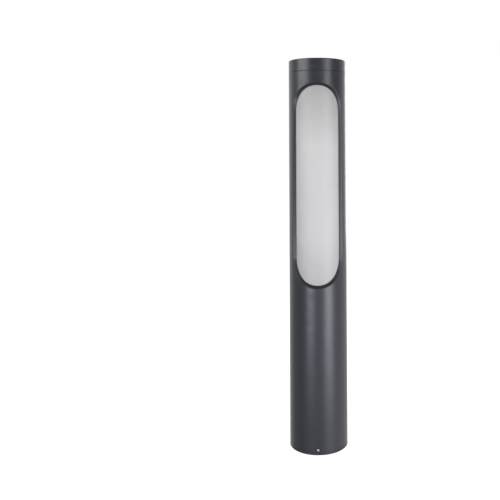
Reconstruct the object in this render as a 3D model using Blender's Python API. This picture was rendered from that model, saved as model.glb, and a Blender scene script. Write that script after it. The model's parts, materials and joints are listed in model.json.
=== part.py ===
"""Bollard light, 0.8 m high: a slotted aluminium column over an opal diffuser tube, on a floor flange.

Metres, +Z up. The origin is the centre of the underside, on the ground. The two windows face -Y and +Y.
Six groups move against each other: the base, the slip ring, the column, the light engine that hangs
from the top cap, and the two set screws at the foot.
"""

import math

import bmesh
import bpy
from mathutils import Matrix, Vector

# Driving dimensions
HEIGHT = 0.800
OUTER_R = 0.060
WALL = 0.005
CAP_HEIGHT = 0.025
CAP_ROUND = 0.002
CAP_ROOF = 0.008
SEAM = 0.0004
WINDOW_LOW = 0.332
WINDOW_HIGH = 0.750
WINDOW_END_R = 0.061
WINDOW_BEVEL = 0.0055
FLANGE_THICK = 0.006
RIM_THICK = 0.0035
SPIGOT_HEIGHT = 0.044
SPIGOT_WALL = 0.004
RING_THICK = 0.0008
SET_SCREW_Z = 0.0095
ANCHOR_PCD = 0.080
ANCHOR_HOLE_R = 0.0045
CABLE_HOLE_R = 0.015
TIE_ROD_X = 0.042

# Fits
GAP = 0.0003
SLIDING_GAP = 0.0006
THREAD_GAP = 0.0004

# Facets
BIG_ROUND = 72
MID_ROUND = 24
SMALL_ROUND = 12

# Worked out from the above
INNER_R = OUTER_R - WALL
SPIGOT_R = INNER_R - SLIDING_GAP
RING_LOW = RIM_THICK + GAP
TUBE_LOW = RING_LOW + RING_THICK + GAP
CAP_LOW = HEIGHT - CAP_HEIGHT
TUBE_HIGH = CAP_LOW - SEAM
WINDOW_MID = (WINDOW_LOW + WINDOW_HIGH) / 2
WINDOW_STRAIGHT = (WINDOW_HIGH - WINDOW_LOW) / 2 - WINDOW_END_R

# Diffuser and what closes its two ends
DIFFUSER_R = INNER_R - 0.0005
DIFFUSER_WALL = 0.003
BULKHEAD_LOW = 0.312
BULKHEAD_THICK = 0.004
GASKET_THICK = 0.0025
GASKET_IN_R = 0.0505
BULKHEAD_HIGH = BULKHEAD_LOW + BULKHEAD_THICK
DIFFUSER_LOW = BULKHEAD_HIGH + GASKET_THICK + 2 * GAP
CAP_SPIGOT_LOW = 0.765
CAP_GASKET_LOW = TUBE_HIGH + GAP
CAP_GASKET_THICK = 0.0010
CAP_GASKET_R = 0.0570
DIFFUSER_HIGH = CAP_SPIGOT_LOW - GASKET_THICK - 2 * GAP
CLIP_THICK = 0.0028
CLIP_GROOVE_DEPTH = 0.002
CLIP_LOW = BULKHEAD_LOW - GAP - CLIP_THICK
CLIP_IN_R = 0.0520
CLIP_EYE_R = 0.0515

# Gear tray and what it carries
TRAY_FRONT = 0.017
TRAY_SHEET = 0.002
TRAY_HALF = 0.036
TRAY_FLANGE = 0.010
TRAY_HIGH = 0.250
TRAY_FOOT_HALF = 0.019
TRAY_NECK_HIGH = 0.032
TRAY_FOOT_BACK = 0.042
TRAY_FOOT_SCREW = (0.010, 0.034)
MOUNT_FACE = TRAY_FRONT - GAP
DRIVER_LOW = 0.080
DRIVER_HIGH = 0.230
DRIVER_HALF = 0.020
DRIVER_DEEP = 0.026
DRIVER_EAR = 0.009
TERMINAL_LOW = 0.036
TERMINAL_HIGH = 0.060
TERMINAL_HALF = 0.023
TERMINAL_DEEP = 0.0145
CLAMP_LOW = 0.021
CLAMP_HIGH = 0.029
CLAMP_SCREW_X = 0.0135
TERMINAL_SCREW_DEPTH = 0.0100
TERMINAL_PITCH = 0.0064
EARTH_X = -0.028
EARTH_Z = 0.074
EARTH_WASHER_R = 0.0045
EARTH_WASHER_THICK = 0.0010
M3_GRIP = 0.0045
M4_LENGTH = 0.0060
TAP_DEPTH = 0.0045

# Light engine
BAR_LOW = 0.338
BAR_HIGH = 0.768
BAR_HALF_X = 0.013
BAR_HALF_Y = 0.007
BOARD_LOW = 0.342
BOARD_HIGH = 0.752
BOARD_HALF = 0.010
BOARD_THICK = 0.0016
LED_COUNT = 16
LED_SIZE = 0.005
LED_THICK = 0.0009
BOSS_LOW = 0.758
BOSS_WALL = 0.005
BAR_SCREW_Z = 0.763
BAR_SCREW_LENGTH = 0.013
BOARD_SCREW_LENGTH = 0.007
TIE_ROD_R = 0.0029
TIE_ROD_LOW = 0.297
TIE_ROD_HIGH = 0.7865
TIE_ROD_HOLE_R = 0.0034
TIE_ROD_BOSS_R = 0.0072

# Plug and socket, all on the column's axis
SOCKET_LOW = 0.300
SOCKET_HIGH = 0.3287
SOCKET_R = 0.011
CUP_R = 0.0074
PLUG_R = 0.0070
CUP_FLOOR_LOW = 0.3115
CUP_FLOOR_HIGH = 0.3200
SOCKET_FLANGE_R = 0.015
SOCKET_FLANGE_THICK = 0.0025
PLUG_BODY_LOW = 0.276
PLUG_BODY_R = 0.0095
PLUG_TAIL_R = 0.0055
ENGINE_PLUG_FLANGE_R = 0.0125
ENGINE_PLUG_NECK_R = 0.0065
ENGINE_PLUG_FLANGE_THICK = 0.004

# Screws, as (shank radius, head radius, head height)
M3 = (0.0014, 0.0028, 0.0020)
M4 = (0.0019, 0.0036, 0.0026)
SET_SCREW_R = 0.0029
SET_SCREW_LENGTH = 0.0050
SET_SCREW_HEX = 0.0030

ANTHRACITE = ((0.075, 0.080, 0.092, 1), 0.45, 0.0)
OPAL = ((0.72, 0.72, 0.71, 1), 0.35, 0.0)
STAINLESS = ((0.60, 0.60, 0.62, 1), 0.25, 1.0)
ZINC = ((0.55, 0.57, 0.60, 1), 0.35, 1.0)
ALUMINIUM = ((0.70, 0.71, 0.73, 1), 0.35, 1.0)
SILICONE = ((0.55, 0.55, 0.54, 1), 0.60, 0.0)
BLACK_RUBBER = ((0.02, 0.02, 0.02, 1), 0.70, 0.0)
WHITE_PLASTIC = ((0.80, 0.80, 0.78, 1), 0.40, 0.0)
BLACK_PLASTIC = ((0.03, 0.03, 0.03, 1), 0.45, 0.0)
NYLON = ((0.10, 0.10, 0.10, 1), 0.50, 0.0)
BOARD_WHITE = ((0.82, 0.83, 0.82, 1), 0.40, 0.0)
CABLE_GREY = ((0.35, 0.35, 0.36, 1), 0.55, 0.0)
CABLE_GREEN = ((0.25, 0.50, 0.10, 1), 0.50, 0.0)


def clear_scene():
    for obj in list(bpy.data.objects):
        bpy.data.objects.remove(obj, do_unlink=True)


def give_material(obj, finish):
    colour, roughness, metallic = finish
    material = bpy.data.materials.new(obj.name)
    material.use_nodes = True
    shader = material.node_tree.nodes["Principled BSDF"]
    shader.inputs["Base Color"].default_value = colour
    shader.inputs["Roughness"].default_value = roughness
    shader.inputs["Metallic"].default_value = metallic
    material.diffuse_color = colour
    obj.data.materials.append(material)


def to_object(name, bm, finish=None, smooth=False):
    """Turns a bmesh into a linked object with its faces pointing out."""
    bmesh.ops.recalc_face_normals(bm, faces=bm.faces)
    mesh = bpy.data.meshes.new(name)
    bm.to_mesh(mesh)
    bm.free()
    if smooth:
        mesh.shade_smooth()
        mesh.set_sharp_from_angle(angle=math.radians(30))
    obj = bpy.data.objects.new(name, mesh)
    bpy.context.scene.collection.objects.link(obj)
    if finish:
        give_material(obj, finish)
    return obj


def as_cutter(obj):
    obj.hide_render = True
    obj.display_type = "WIRE"
    return obj


def combine(target, other, operation):
    """Adds a live Boolean of a helper object to the target."""
    modifier = target.modifiers.new(other.name, "BOOLEAN")
    modifier.operation = operation
    modifier.solver = "EXACT"
    modifier.object = as_cutter(other)


def cut(target, other):
    combine(target, other, "DIFFERENCE")


def unite(target, other):
    combine(target, other, "UNION")


def ring_points(radius, count, start=0.0):
    turns = [start + 2 * math.pi * i / count for i in range(count)]
    return [(radius * math.cos(a), radius * math.sin(a)) for a in turns]


def add_turned(bm, profile, segments, matrix=Matrix()):
    """Spins (radius, height) points about Z. A profile that ends on the axis is left open there."""
    on_axis = profile[0][0] == 0 and profile[-1][0] == 0
    verts = [bm.verts.new((r, 0, z)) for r, z in profile]
    pairs = list(zip(verts, verts[1:]))
    if not on_axis:
        pairs.append((verts[-1], verts[0]))
    edges = [bm.edges.new(pair) for pair in pairs]
    bmesh.ops.spin(
        bm,
        geom=verts + edges,
        cent=(0, 0, 0),
        axis=(0, 0, 1),
        angle=2 * math.pi,
        steps=segments,
        use_merge=True,
    )
    bmesh.ops.remove_doubles(bm, verts=bm.verts, dist=1e-7)
    bmesh.ops.transform(bm, matrix=matrix, verts=bm.verts)


def turned(name, profile, finish, segments=MID_ROUND, matrix=Matrix()):
    bm = bmesh.new()
    add_turned(bm, profile, segments, matrix)
    return to_object(name, bm, finish, smooth=True)


def tube_profile(outer, inner, low, high):
    return [(outer, high), (outer, low), (inner, low), (inner, high)]


def add_prism(bm, outline, low, high, matrix=Matrix()):
    """Extrudes a closed (x, y) outline from low to high along Z."""
    base = [bm.verts.new((x, y, low)) for x, y in outline]
    face = bm.faces.new(base)
    raised = bmesh.ops.extrude_face_region(bm, geom=[face])["geom"]
    top = [v for v in raised if isinstance(v, bmesh.types.BMVert)]
    bmesh.ops.translate(bm, verts=top, vec=(0, 0, high - low))
    bmesh.ops.transform(bm, matrix=matrix, verts=base + top)


def prism(name, outline, low, high, finish=None, matrix=Matrix(), smooth=False):
    bm = bmesh.new()
    add_prism(bm, outline, low, high, matrix)
    return to_object(name, bm, finish, smooth)


def rectangle(half_x, low_y, high_y, mid_x=0.0):
    left, right = mid_x - half_x, mid_x + half_x
    return [(left, low_y), (right, low_y), (right, high_y), (left, high_y)]


def pointing(direction, place):
    """Matrix that turns local +Z to a direction and moves it to a place."""
    turn = Vector((0, 0, 1)).rotation_difference(Vector(direction)).to_matrix().to_4x4()
    return Matrix.Translation(place) @ turn


def drill(name, places, radius, depth, direction=(0, 0, 1), count=SMALL_ROUND):
    """One cutter that holds a round drill at each place, centred on it along its axis."""
    bm = bmesh.new()
    for place in places:
        add_prism(bm, ring_points(radius, count), -depth / 2, depth / 2, pointing(direction, place))
    return to_object(name, bm)


def screw(name, size, place, direction, length, finish=ZINC):
    """Pan-head screw. The place is the underside of its head, and the direction points out of it."""
    shank_r, head_r, head_high = size
    recess_r = shank_r * 0.8
    profile = [
        (0, head_high * 0.45),
        (recess_r, head_high * 0.45),
        (recess_r, head_high),
        (head_r * 0.75, head_high),
        (head_r, head_high * 0.55),
        (head_r, 0),
        (shank_r, 0),
        (shank_r, -length + shank_r * 0.5),
        (shank_r * 0.5, -length),
        (0, -length),
    ]
    return turned(name, profile, finish, SMALL_ROUND, pointing(direction, place))


def cable(name, points, radius, finish):
    """Round cable along a smooth curve, with closed ends."""
    curve = bpy.data.curves.new(name, "CURVE")
    curve.dimensions = "3D"
    curve.resolution_u = 6
    curve.bevel_depth = radius
    curve.bevel_resolution = 2
    curve.use_fill_caps = True
    spline = curve.splines.new("BEZIER")
    spline.bezier_points.add(len(points) - 1)
    for knot, (place, lean) in zip(spline.bezier_points, points):
        knot.co = place
        knot.handle_left = Vector(place) - Vector(lean)
        knot.handle_right = Vector(place) + Vector(lean)
    obj = bpy.data.objects.new(name, curve)
    bpy.context.scene.collection.objects.link(obj)
    give_material(obj, finish)
    return obj


# --- Base -----------------------------------------------------------------------------------------


def anchor_places():
    reach = ANCHOR_PCD / 2 * math.sqrt(0.5)
    return [(sx * reach, sy * reach, 0) for sx in (-1, 1) for sy in (-1, 1)]


def make_base_flange():
    """Floor flange with a visible rim, a spigot that the column drops over and a central cable hole."""
    chamfer = 0.001
    profile = [
        (CABLE_HOLE_R, FLANGE_THICK),
        (SPIGOT_R - SPIGOT_WALL, FLANGE_THICK),
        (SPIGOT_R - SPIGOT_WALL, SPIGOT_HEIGHT),
        (SPIGOT_R - chamfer, SPIGOT_HEIGHT),
        (SPIGOT_R, SPIGOT_HEIGHT - chamfer),
        (SPIGOT_R, RIM_THICK),
        (OUTER_R, RIM_THICK),
        (OUTER_R, 0),
        (CABLE_HOLE_R, 0),
    ]
    flange = turned("base_flange", profile, ANTHRACITE, BIG_ROUND)
    cut(flange, drill("anchor_drills", anchor_places(), ANCHOR_HOLE_R, 4 * FLANGE_THICK))
    x, y = TRAY_FOOT_SCREW
    places = [(side * x, y, FLANGE_THICK) for side in (-1, 1)]
    cut(flange, drill("tray_tap_drills", places, M4[0] + THREAD_GAP, 2 * TAP_DEPTH))


def make_slip_ring():
    """Thin ring between the flange's rim and the column's foot, which the column turns on."""
    set_back = 0.0002
    profile = tube_profile(OUTER_R - set_back, SPIGOT_R + GAP, RING_LOW, RING_LOW + RING_THICK)
    turned("slip_ring", profile, NYLON, BIG_ROUND)


def make_gear_tray():
    """Bent sheet channel with a foot that is screwed to the flange."""
    back = TRAY_FRONT + TRAY_SHEET
    inside = TRAY_HALF - TRAY_SHEET
    channel = [
        (-TRAY_HALF, TRAY_FRONT),
        (TRAY_HALF, TRAY_FRONT),
        (TRAY_HALF, TRAY_FRONT + TRAY_FLANGE),
        (inside, TRAY_FRONT + TRAY_FLANGE),
        (inside, back),
        (-inside, back),
        (-inside, TRAY_FRONT + TRAY_FLANGE),
        (-TRAY_HALF, TRAY_FRONT + TRAY_FLANGE),
    ]
    tray = prism("gear_tray", channel, TRAY_NECK_HIGH, TRAY_HIGH, ZINC)
    low = FLANGE_THICK + GAP
    neck = TRAY_NECK_HIGH + 2 * TRAY_SHEET
    foot = [
        (TRAY_FRONT, low),
        (TRAY_FOOT_BACK, low),
        (TRAY_FOOT_BACK, low + TRAY_SHEET),
        (back, low + TRAY_SHEET),
        (back, neck),
        (TRAY_FRONT, neck),
    ]
    across = Matrix(((0, 0, 1, 0), (1, 0, 0, 0), (0, 1, 0, 0), (0, 0, 0, 1)))
    unite(tray, prism("tray_foot", foot, -TRAY_FOOT_HALF, TRAY_FOOT_HALF, matrix=across))
    x, y = TRAY_FOOT_SCREW
    foot_places = [(side * x, y, low) for side in (-1, 1)]
    cut(tray, drill("tray_foot_drills", foot_places, M4[0] + THREAD_GAP, 2 * TAP_DEPTH))
    places = [place for place, _ in small_screws().values()]
    cut(tray, drill("tray_face_drills", places, M3[0] + THREAD_GAP, 0.030, (0, 1, 0)))


def small_screws():
    """Where each M3 screw crosses the tray's front face, and how far its head stands off that face."""
    ear = DRIVER_EAR / 2
    driver_off = TRAY_SHEET + 2 * GAP
    terminal_x = TERMINAL_HALF - 0.004
    terminal_mid = (TERMINAL_LOW + TERMINAL_HIGH) / 2
    clamp_mid = (CLAMP_LOW + CLAMP_HIGH) / 2
    front = TRAY_FRONT
    return {
        "driver_screw_upper": ((0, front, DRIVER_HIGH + ear), driver_off),
        "driver_screw_lower": ((0, front, DRIVER_LOW - ear), driver_off),
        "terminal_block_screw_left": ((-terminal_x, front, terminal_mid), TERMINAL_SCREW_DEPTH),
        "terminal_block_screw_right": ((terminal_x, front, terminal_mid), TERMINAL_SCREW_DEPTH),
        "cable_clamp_screw_left": ((-CLAMP_SCREW_X, front, clamp_mid), driver_off),
        "cable_clamp_screw_right": ((CLAMP_SCREW_X, front, clamp_mid), driver_off),
        "earth_screw": ((EARTH_X, front, EARTH_Z), EARTH_WASHER_THICK + 2 * GAP),
    }


def make_tray_screws():
    x, y = TRAY_FOOT_SCREW
    head = FLANGE_THICK + TRAY_SHEET + 2 * GAP
    for side, word in ((-1, "left"), (1, "right")):
        screw(f"tray_screw_{word}", M4, (side * x, y, head), (0, 0, 1), M4_LENGTH)
    for name, (place, stand_off) in small_screws().items():
        head_place = (place[0], TRAY_FRONT - stand_off, place[2])
        screw(name, M3, head_place, (0, -1, 0), stand_off + M3_GRIP)


def make_led_driver():
    """Sealed driver case with a mounting ear at each end."""
    bm = bmesh.new()
    chamfer = 0.002
    low_y = MOUNT_FACE - DRIVER_DEEP
    outline = [
        (-DRIVER_HALF, MOUNT_FACE),
        (-DRIVER_HALF, low_y + chamfer),
        (-DRIVER_HALF + chamfer, low_y),
        (DRIVER_HALF - chamfer, low_y),
        (DRIVER_HALF, low_y + chamfer),
        (DRIVER_HALF, MOUNT_FACE),
    ]
    add_prism(bm, outline, DRIVER_LOW, DRIVER_HIGH)
    driver = to_object("led_driver", bm, WHITE_PLASTIC)
    ears = rectangle(DRIVER_HALF * 0.6, MOUNT_FACE - TRAY_SHEET, MOUNT_FACE)
    unite(driver, prism("driver_ears", ears, DRIVER_LOW - DRIVER_EAR, DRIVER_HIGH + DRIVER_EAR))
    places = [small_screws()[f"driver_screw_{word}"][0] for word in ("upper", "lower")]
    cut(driver, drill("driver_drills", places, M3[0] + THREAD_GAP, 0.030, (0, 1, 0)))


def make_terminal_block():
    """Five-way terminal block, with a wire entry under each way and a screw recess in its front."""
    ways = 5
    low_y = MOUNT_FACE - TERMINAL_DEEP
    entry_r, recess_r = 0.0020, 0.0018
    block = prism(
        "terminal_block",
        rectangle(TERMINAL_HALF, low_y, MOUNT_FACE),
        TERMINAL_LOW,
        TERMINAL_HIGH,
        WHITE_PLASTIC,
    )
    xs = [TERMINAL_PITCH * (i - (ways - 1) / 2) for i in range(ways)]
    mid = (TERMINAL_LOW + TERMINAL_HIGH) / 2
    entries = [(x, low_y + TERMINAL_DEEP * 0.55, TERMINAL_LOW) for x in xs]
    cut(block, drill("wire_entry_drills", entries, entry_r, 0.010))
    recesses = [(x, low_y, mid + 0.004) for x in xs]
    cut(block, drill("way_screw_drills", recesses, recess_r, 0.008, (0, 1, 0)))
    places = [small_screws()[f"terminal_block_screw_{word}"][0] for word in ("left", "right")]
    cut(block, drill("terminal_drills", places, M3[0] + THREAD_GAP, 0.040, (0, 1, 0)))
    head_y = TRAY_FRONT - small_screws()["terminal_block_screw_left"][1] + GAP
    sinks = [(place[0], head_y - 0.010, place[2]) for place in places]
    cut(block, drill("terminal_sinks", sinks, M3[1] + THREAD_GAP, 0.020, (0, 1, 0)))


def make_cable_clamp():
    """Saddle that holds the supply cable against the tray."""
    bore_r = 0.0062
    thick = 0.002
    foot = 0.018
    steps = 10
    face = MOUNT_FACE

    def arch(radius):
        turns = [math.pi * i / steps for i in range(steps + 1)]
        return [(radius * math.cos(a), face - thick - radius * math.sin(a)) for a in turns]

    outer = [(foot, face), (foot, face - thick), *arch(bore_r + thick), (-foot, face - thick), (-foot, face)]
    inner = [(-bore_r, face), *reversed(arch(bore_r)), (bore_r, face)]
    clamp = prism("cable_clamp", outer + inner, CLAMP_LOW, CLAMP_HIGH, BLACK_PLASTIC)
    places = [small_screws()[f"cable_clamp_screw_{word}"][0] for word in ("left", "right")]
    cut(clamp, drill("clamp_drills", places, M3[0] + THREAD_GAP, 0.012, (0, 1, 0)))


def make_earth_point():
    front = TRAY_FRONT - GAP
    profile = tube_profile(EARTH_WASHER_R, M3[0] + THREAD_GAP, 0, EARTH_WASHER_THICK)
    turned("earth_washer", profile, ZINC, MID_ROUND, pointing((0, -1, 0), (EARTH_X, front, EARTH_Z)))
    start = (-0.019, MOUNT_FACE - 0.004, TERMINAL_HIGH + GAP)
    end = (EARTH_X, TRAY_FRONT - 0.0030, EARTH_Z - EARTH_WASHER_R - 0.0005)
    cable("earth_lead", [(start, (0, 0, 0.004)), (end, (-0.001, 0, 0.003))], 0.0015, CABLE_GREEN)


def make_driver_leads():
    depth = MOUNT_FACE - DRIVER_DEEP / 2
    block_top = (-TERMINAL_PITCH, depth + 0.004, TERMINAL_HIGH + GAP)
    driver_bottom = (-0.012, depth, DRIVER_LOW - GAP)
    bend = (0, 0, 0.007)
    cable("driver_input_lead", [(block_top, bend), (driver_bottom, bend)], 0.0028, CABLE_GREY)
    driver_top = (0.008, depth, DRIVER_HIGH + GAP)
    plug_bottom = (0, 0, PLUG_BODY_LOW - GAP)
    bend = (0, 0, 0.020)
    cable("driver_output_lead", [(driver_top, bend), (plug_bottom, bend)], 0.0030, CABLE_GREY)


def make_driver_plug():
    """Round plug on the axis, pointing up into the bulkhead socket."""
    shoulder = SOCKET_LOW - THREAD_GAP
    profile = [
        (0, CUP_FLOOR_LOW - THREAD_GAP),
        (PLUG_R, CUP_FLOOR_LOW - THREAD_GAP),
        (PLUG_R, shoulder),
        (PLUG_BODY_R, shoulder),
        (PLUG_BODY_R, PLUG_BODY_LOW + 0.006),
        (PLUG_TAIL_R, PLUG_BODY_LOW),
        (0, PLUG_BODY_LOW),
    ]
    turned("driver_plug", profile, BLACK_PLASTIC)


# --- Column ---------------------------------------------------------------------------------------


def window_row(radius, level):
    """(half-angle, height) of the window's edge at a radius. The level runs from -1 to 1, end to end.

    On the unrolled outer face the window is a slot with half-round ends. Towards the inside it narrows,
    which leaves a bevel all round through the wall.
    """
    end_r = WINDOW_END_R - WINDOW_BEVEL * (OUTER_R - radius) / WALL
    turn = abs(level) * math.pi / 2
    height = math.copysign(WINDOW_STRAIGHT + end_r * math.sin(turn), level)
    return end_r * math.cos(turn) / OUTER_R, WINDOW_MID + height


def make_window_cutter(name, facing):
    """Solid that fills one window, from inside the wall to outside it."""
    spare = 0.003
    columns, steps = 24, 14
    levels = [-1 + i / steps for i in range(steps + 1)] + [i / steps for i in range(steps + 1)]
    levels[steps] = -1e-9
    bm = bmesh.new()
    sheets = []
    for radius in (OUTER_R + spare, INNER_R - spare):
        sheet = []
        for level in levels:
            half, z = window_row(radius, level)
            turns = [facing - half + 2 * half * i / columns for i in range(columns + 1)]
            sheet.append([bm.verts.new((radius * math.cos(a), radius * math.sin(a), z)) for a in turns])
        sheets.append(sheet)
    outer, inner = sheets
    last = len(levels) - 1
    for sheet in sheets:
        for j in range(last):
            for i in range(columns):
                bm.faces.new((sheet[j][i], sheet[j][i + 1], sheet[j + 1][i + 1], sheet[j + 1][i]))
    for j in range(last):
        for i in (0, columns):
            bm.faces.new((outer[j][i], outer[j + 1][i], inner[j + 1][i], inner[j][i]))
    bmesh.ops.remove_doubles(bm, verts=bm.verts, dist=1e-6)
    bmesh.ops.dissolve_degenerate(bm, edges=bm.edges, dist=1e-7)
    bmesh.ops.holes_fill(bm, edges=bm.edges)
    return to_object(name, bm)


def make_housing_tube():
    groove_low = CLIP_LOW - GAP
    groove_high = BULKHEAD_LOW
    groove_r = INNER_R + CLIP_GROOVE_DEPTH
    profile = [
        (OUTER_R, TUBE_HIGH),
        (OUTER_R, TUBE_LOW),
        (INNER_R, TUBE_LOW),
        (INNER_R, groove_low),
        (groove_r, groove_low),
        (groove_r, groove_high),
        (INNER_R, groove_high),
        (INNER_R, TUBE_HIGH),
    ]
    tube = turned("housing_tube", profile, ANTHRACITE, BIG_ROUND)
    cut(tube, make_window_cutter("front_window", -math.pi / 2))
    cut(tube, make_window_cutter("rear_window", math.pi / 2))
    places = [(0, side * OUTER_R, SET_SCREW_Z) for side in (-1, 1)]
    cut(tube, drill("set_screw_drills", places, SET_SCREW_R + THREAD_GAP, 0.030, (0, 1, 0)))


def make_diffuser():
    inner = DIFFUSER_R - DIFFUSER_WALL
    profile = tube_profile(DIFFUSER_R, inner, DIFFUSER_LOW, DIFFUSER_HIGH)
    turned("diffuser_tube", profile, OPAL, BIG_ROUND)
    for name, low in (
        ("diffuser_gasket_lower", BULKHEAD_HIGH + GAP),
        ("diffuser_gasket_upper", DIFFUSER_HIGH + GAP),
    ):
        profile = tube_profile(SPIGOT_R, GASKET_IN_R, low, low + GASKET_THICK)
        turned(name, profile, SILICONE, BIG_ROUND)


def tie_rod_places(z):
    return [(side * TIE_ROD_X, 0, z) for side in (-1, 1)]


def make_bulkhead():
    """Plate under the diffuser, with a socket through its centre and a hole for each tie rod."""
    bore = SOCKET_R + GAP
    profile = tube_profile(SPIGOT_R, bore, BULKHEAD_LOW, BULKHEAD_HIGH)
    plate = turned("bulkhead_plate", profile, ALUMINIUM, BIG_ROUND)
    cut(plate, drill("tie_rod_drills", tie_rod_places(BULKHEAD_LOW), TIE_ROD_HOLE_R, 0.020))


def make_retaining_ring():
    """Internal spring clip under the bulkhead, open at the front, with two eyes for circlip pliers."""
    outer = INNER_R + CLIP_GROOVE_DEPTH - THREAD_GAP
    half_gap = math.radians(9)
    eye_turn = math.radians(4)
    eye_pad_r, eye_hole_r = 0.0035, 0.0012
    steps = 60
    start = -math.pi / 2 + half_gap
    sweep = 2 * math.pi - 2 * half_gap
    turns = [start + sweep * i / steps for i in range(steps + 1)]
    outline = [(outer * math.cos(a), outer * math.sin(a)) for a in turns]
    outline += [(CLIP_IN_R * math.cos(a), CLIP_IN_R * math.sin(a)) for a in reversed(turns)]
    clip = prism("retaining_ring", outline, CLIP_LOW, CLIP_LOW + CLIP_THICK, STAINLESS)
    eye_turns = (start + eye_turn, start + sweep - eye_turn)
    eyes = [(CLIP_EYE_R * math.cos(a), CLIP_EYE_R * math.sin(a)) for a in eye_turns]
    for word, (x, y) in zip(("right", "left"), eyes):
        at = Matrix.Translation((x, y, 0))
        pad = ring_points(eye_pad_r, SMALL_ROUND)
        unite(clip, prism(f"clip_eye_{word}", pad, CLIP_LOW, CLIP_LOW + CLIP_THICK, matrix=at))
    cut(clip, drill("clip_eye_drills", [(x, y, CLIP_LOW) for x, y in eyes], eye_hole_r, 0.012))


def make_bulkhead_socket():
    """Socket through the bulkhead: the light engine plugs in from above, the driver's plug from below."""
    nut_half_flats, nut_thick = 0.014, 0.005
    flange_low = BULKHEAD_HIGH + GAP
    flange_high = flange_low + SOCKET_FLANGE_THICK
    profile = [
        (0, CUP_FLOOR_HIGH),
        (CUP_R, CUP_FLOOR_HIGH),
        (CUP_R, SOCKET_HIGH),
        (SOCKET_R, SOCKET_HIGH),
        (SOCKET_R, flange_high),
        (SOCKET_FLANGE_R, flange_high),
        (SOCKET_FLANGE_R, flange_low),
        (SOCKET_R, flange_low),
        (SOCKET_R, SOCKET_LOW),
        (CUP_R, SOCKET_LOW),
        (CUP_R, CUP_FLOOR_LOW),
        (0, CUP_FLOOR_LOW),
    ]
    turned("bulkhead_socket", profile, BLACK_PLASTIC)
    place = (0, 0, BULKHEAD_LOW - GAP)
    hexagon_nut("socket_nut", nut_half_flats, SOCKET_R + THREAD_GAP, place, nut_thick)


def hexagon_nut(name, half_flats, bore_r, top, thick):
    """Hexagon nut whose upper face is at a place."""
    x, y, z = top
    outline = ring_points(half_flats / math.cos(math.pi / 6), 6)
    nut = prism(name, outline, z - thick, z, ZINC, Matrix.Translation((x, y, 0)))
    cut(nut, drill(f"{name}_bore", [(x, y, z)], bore_r, 0.030, count=MID_ROUND))


def make_tie_rod_nuts():
    washer_r, washer_thick = 0.006, 0.0016
    nut_half_flats, nut_thick = 0.005, 0.005
    washer_high = BULKHEAD_LOW - GAP
    for side, word in ((-1, "left"), (1, "right")):
        x = side * TIE_ROD_X
        profile = tube_profile(washer_r, TIE_ROD_HOLE_R, washer_high - washer_thick, washer_high)
        turned(f"tie_rod_washer_{word}", profile, ZINC, MID_ROUND, Matrix.Translation((x, 0, 0)))
        nut_high = washer_high - washer_thick - GAP
        place = (x, 0, nut_high)
        hexagon_nut(f"tie_rod_nut_{word}", nut_half_flats, TIE_ROD_HOLE_R, place, nut_thick)


# --- Light engine ---------------------------------------------------------------------------------


def make_top_cap():
    """Cap with a spigot that enters the column, a gasket groove, tie rod bosses and a bar socket."""
    roof_low = HEIGHT - CAP_ROOF
    groove_r = CAP_GASKET_R + GAP
    groove_high = CAP_GASKET_LOW + CAP_GASKET_THICK + GAP
    steps = 5
    corner = []
    for i in range(steps + 1):
        turn = math.pi / 2 * (1 - i / steps)
        r = OUTER_R - CAP_ROUND + CAP_ROUND * math.cos(turn)
        corner.append((r, HEIGHT - CAP_ROUND + CAP_ROUND * math.sin(turn)))
    profile = [
        (0, HEIGHT),
        *corner,
        (OUTER_R, CAP_LOW),
        (groove_r, CAP_LOW),
        (groove_r, groove_high),
        (SPIGOT_R, groove_high),
        (SPIGOT_R, CAP_SPIGOT_LOW),
        (GASKET_IN_R, CAP_SPIGOT_LOW),
        (GASKET_IN_R, roof_low),
        (0, roof_low),
    ]
    cap = turned("top_cap", profile, ANTHRACITE, BIG_ROUND)
    overlap = 0.003
    bm = bmesh.new()
    for side in (-1, 1):
        at = Matrix.Translation((side * TIE_ROD_X, 0, 0))
        outline = ring_points(TIE_ROD_BOSS_R, MID_ROUND)
        add_prism(bm, outline, CAP_SPIGOT_LOW + 0.004, roof_low + overlap, at)
    boss = rectangle(BAR_HALF_X + BOSS_WALL, -BAR_HALF_Y - BOSS_WALL, BAR_HALF_Y + BOSS_WALL)
    add_prism(bm, boss, BOSS_LOW, roof_low + overlap)
    unite(cap, to_object("cap_bosses", bm))
    room = rectangle(BAR_HALF_X + GAP, -BAR_HALF_Y - GAP, BAR_HALF_Y + GAP)
    cut(cap, prism("bar_room", room, BOSS_LOW - 0.010, BAR_HIGH + GAP))
    tap_depth = TIE_ROD_HIGH + GAP - CAP_SPIGOT_LOW
    cut(cap, drill("tie_rod_tap_drills", tie_rod_places(CAP_SPIGOT_LOW), TIE_ROD_HOLE_R, 2 * tap_depth))
    cut(cap, drill("bar_screw_drills", [(0, 0, BAR_SCREW_Z)], M3[0] + THREAD_GAP, 0.060, (1, 0, 0)))


def make_cap_gasket():
    """Flat ring in the cap's groove, which seals on the end of the tube."""
    low = CAP_GASKET_LOW
    profile = tube_profile(CAP_GASKET_R, SPIGOT_R + GAP, low, low + CAP_GASKET_THICK)
    turned("cap_gasket", profile, BLACK_RUBBER, BIG_ROUND)


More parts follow.
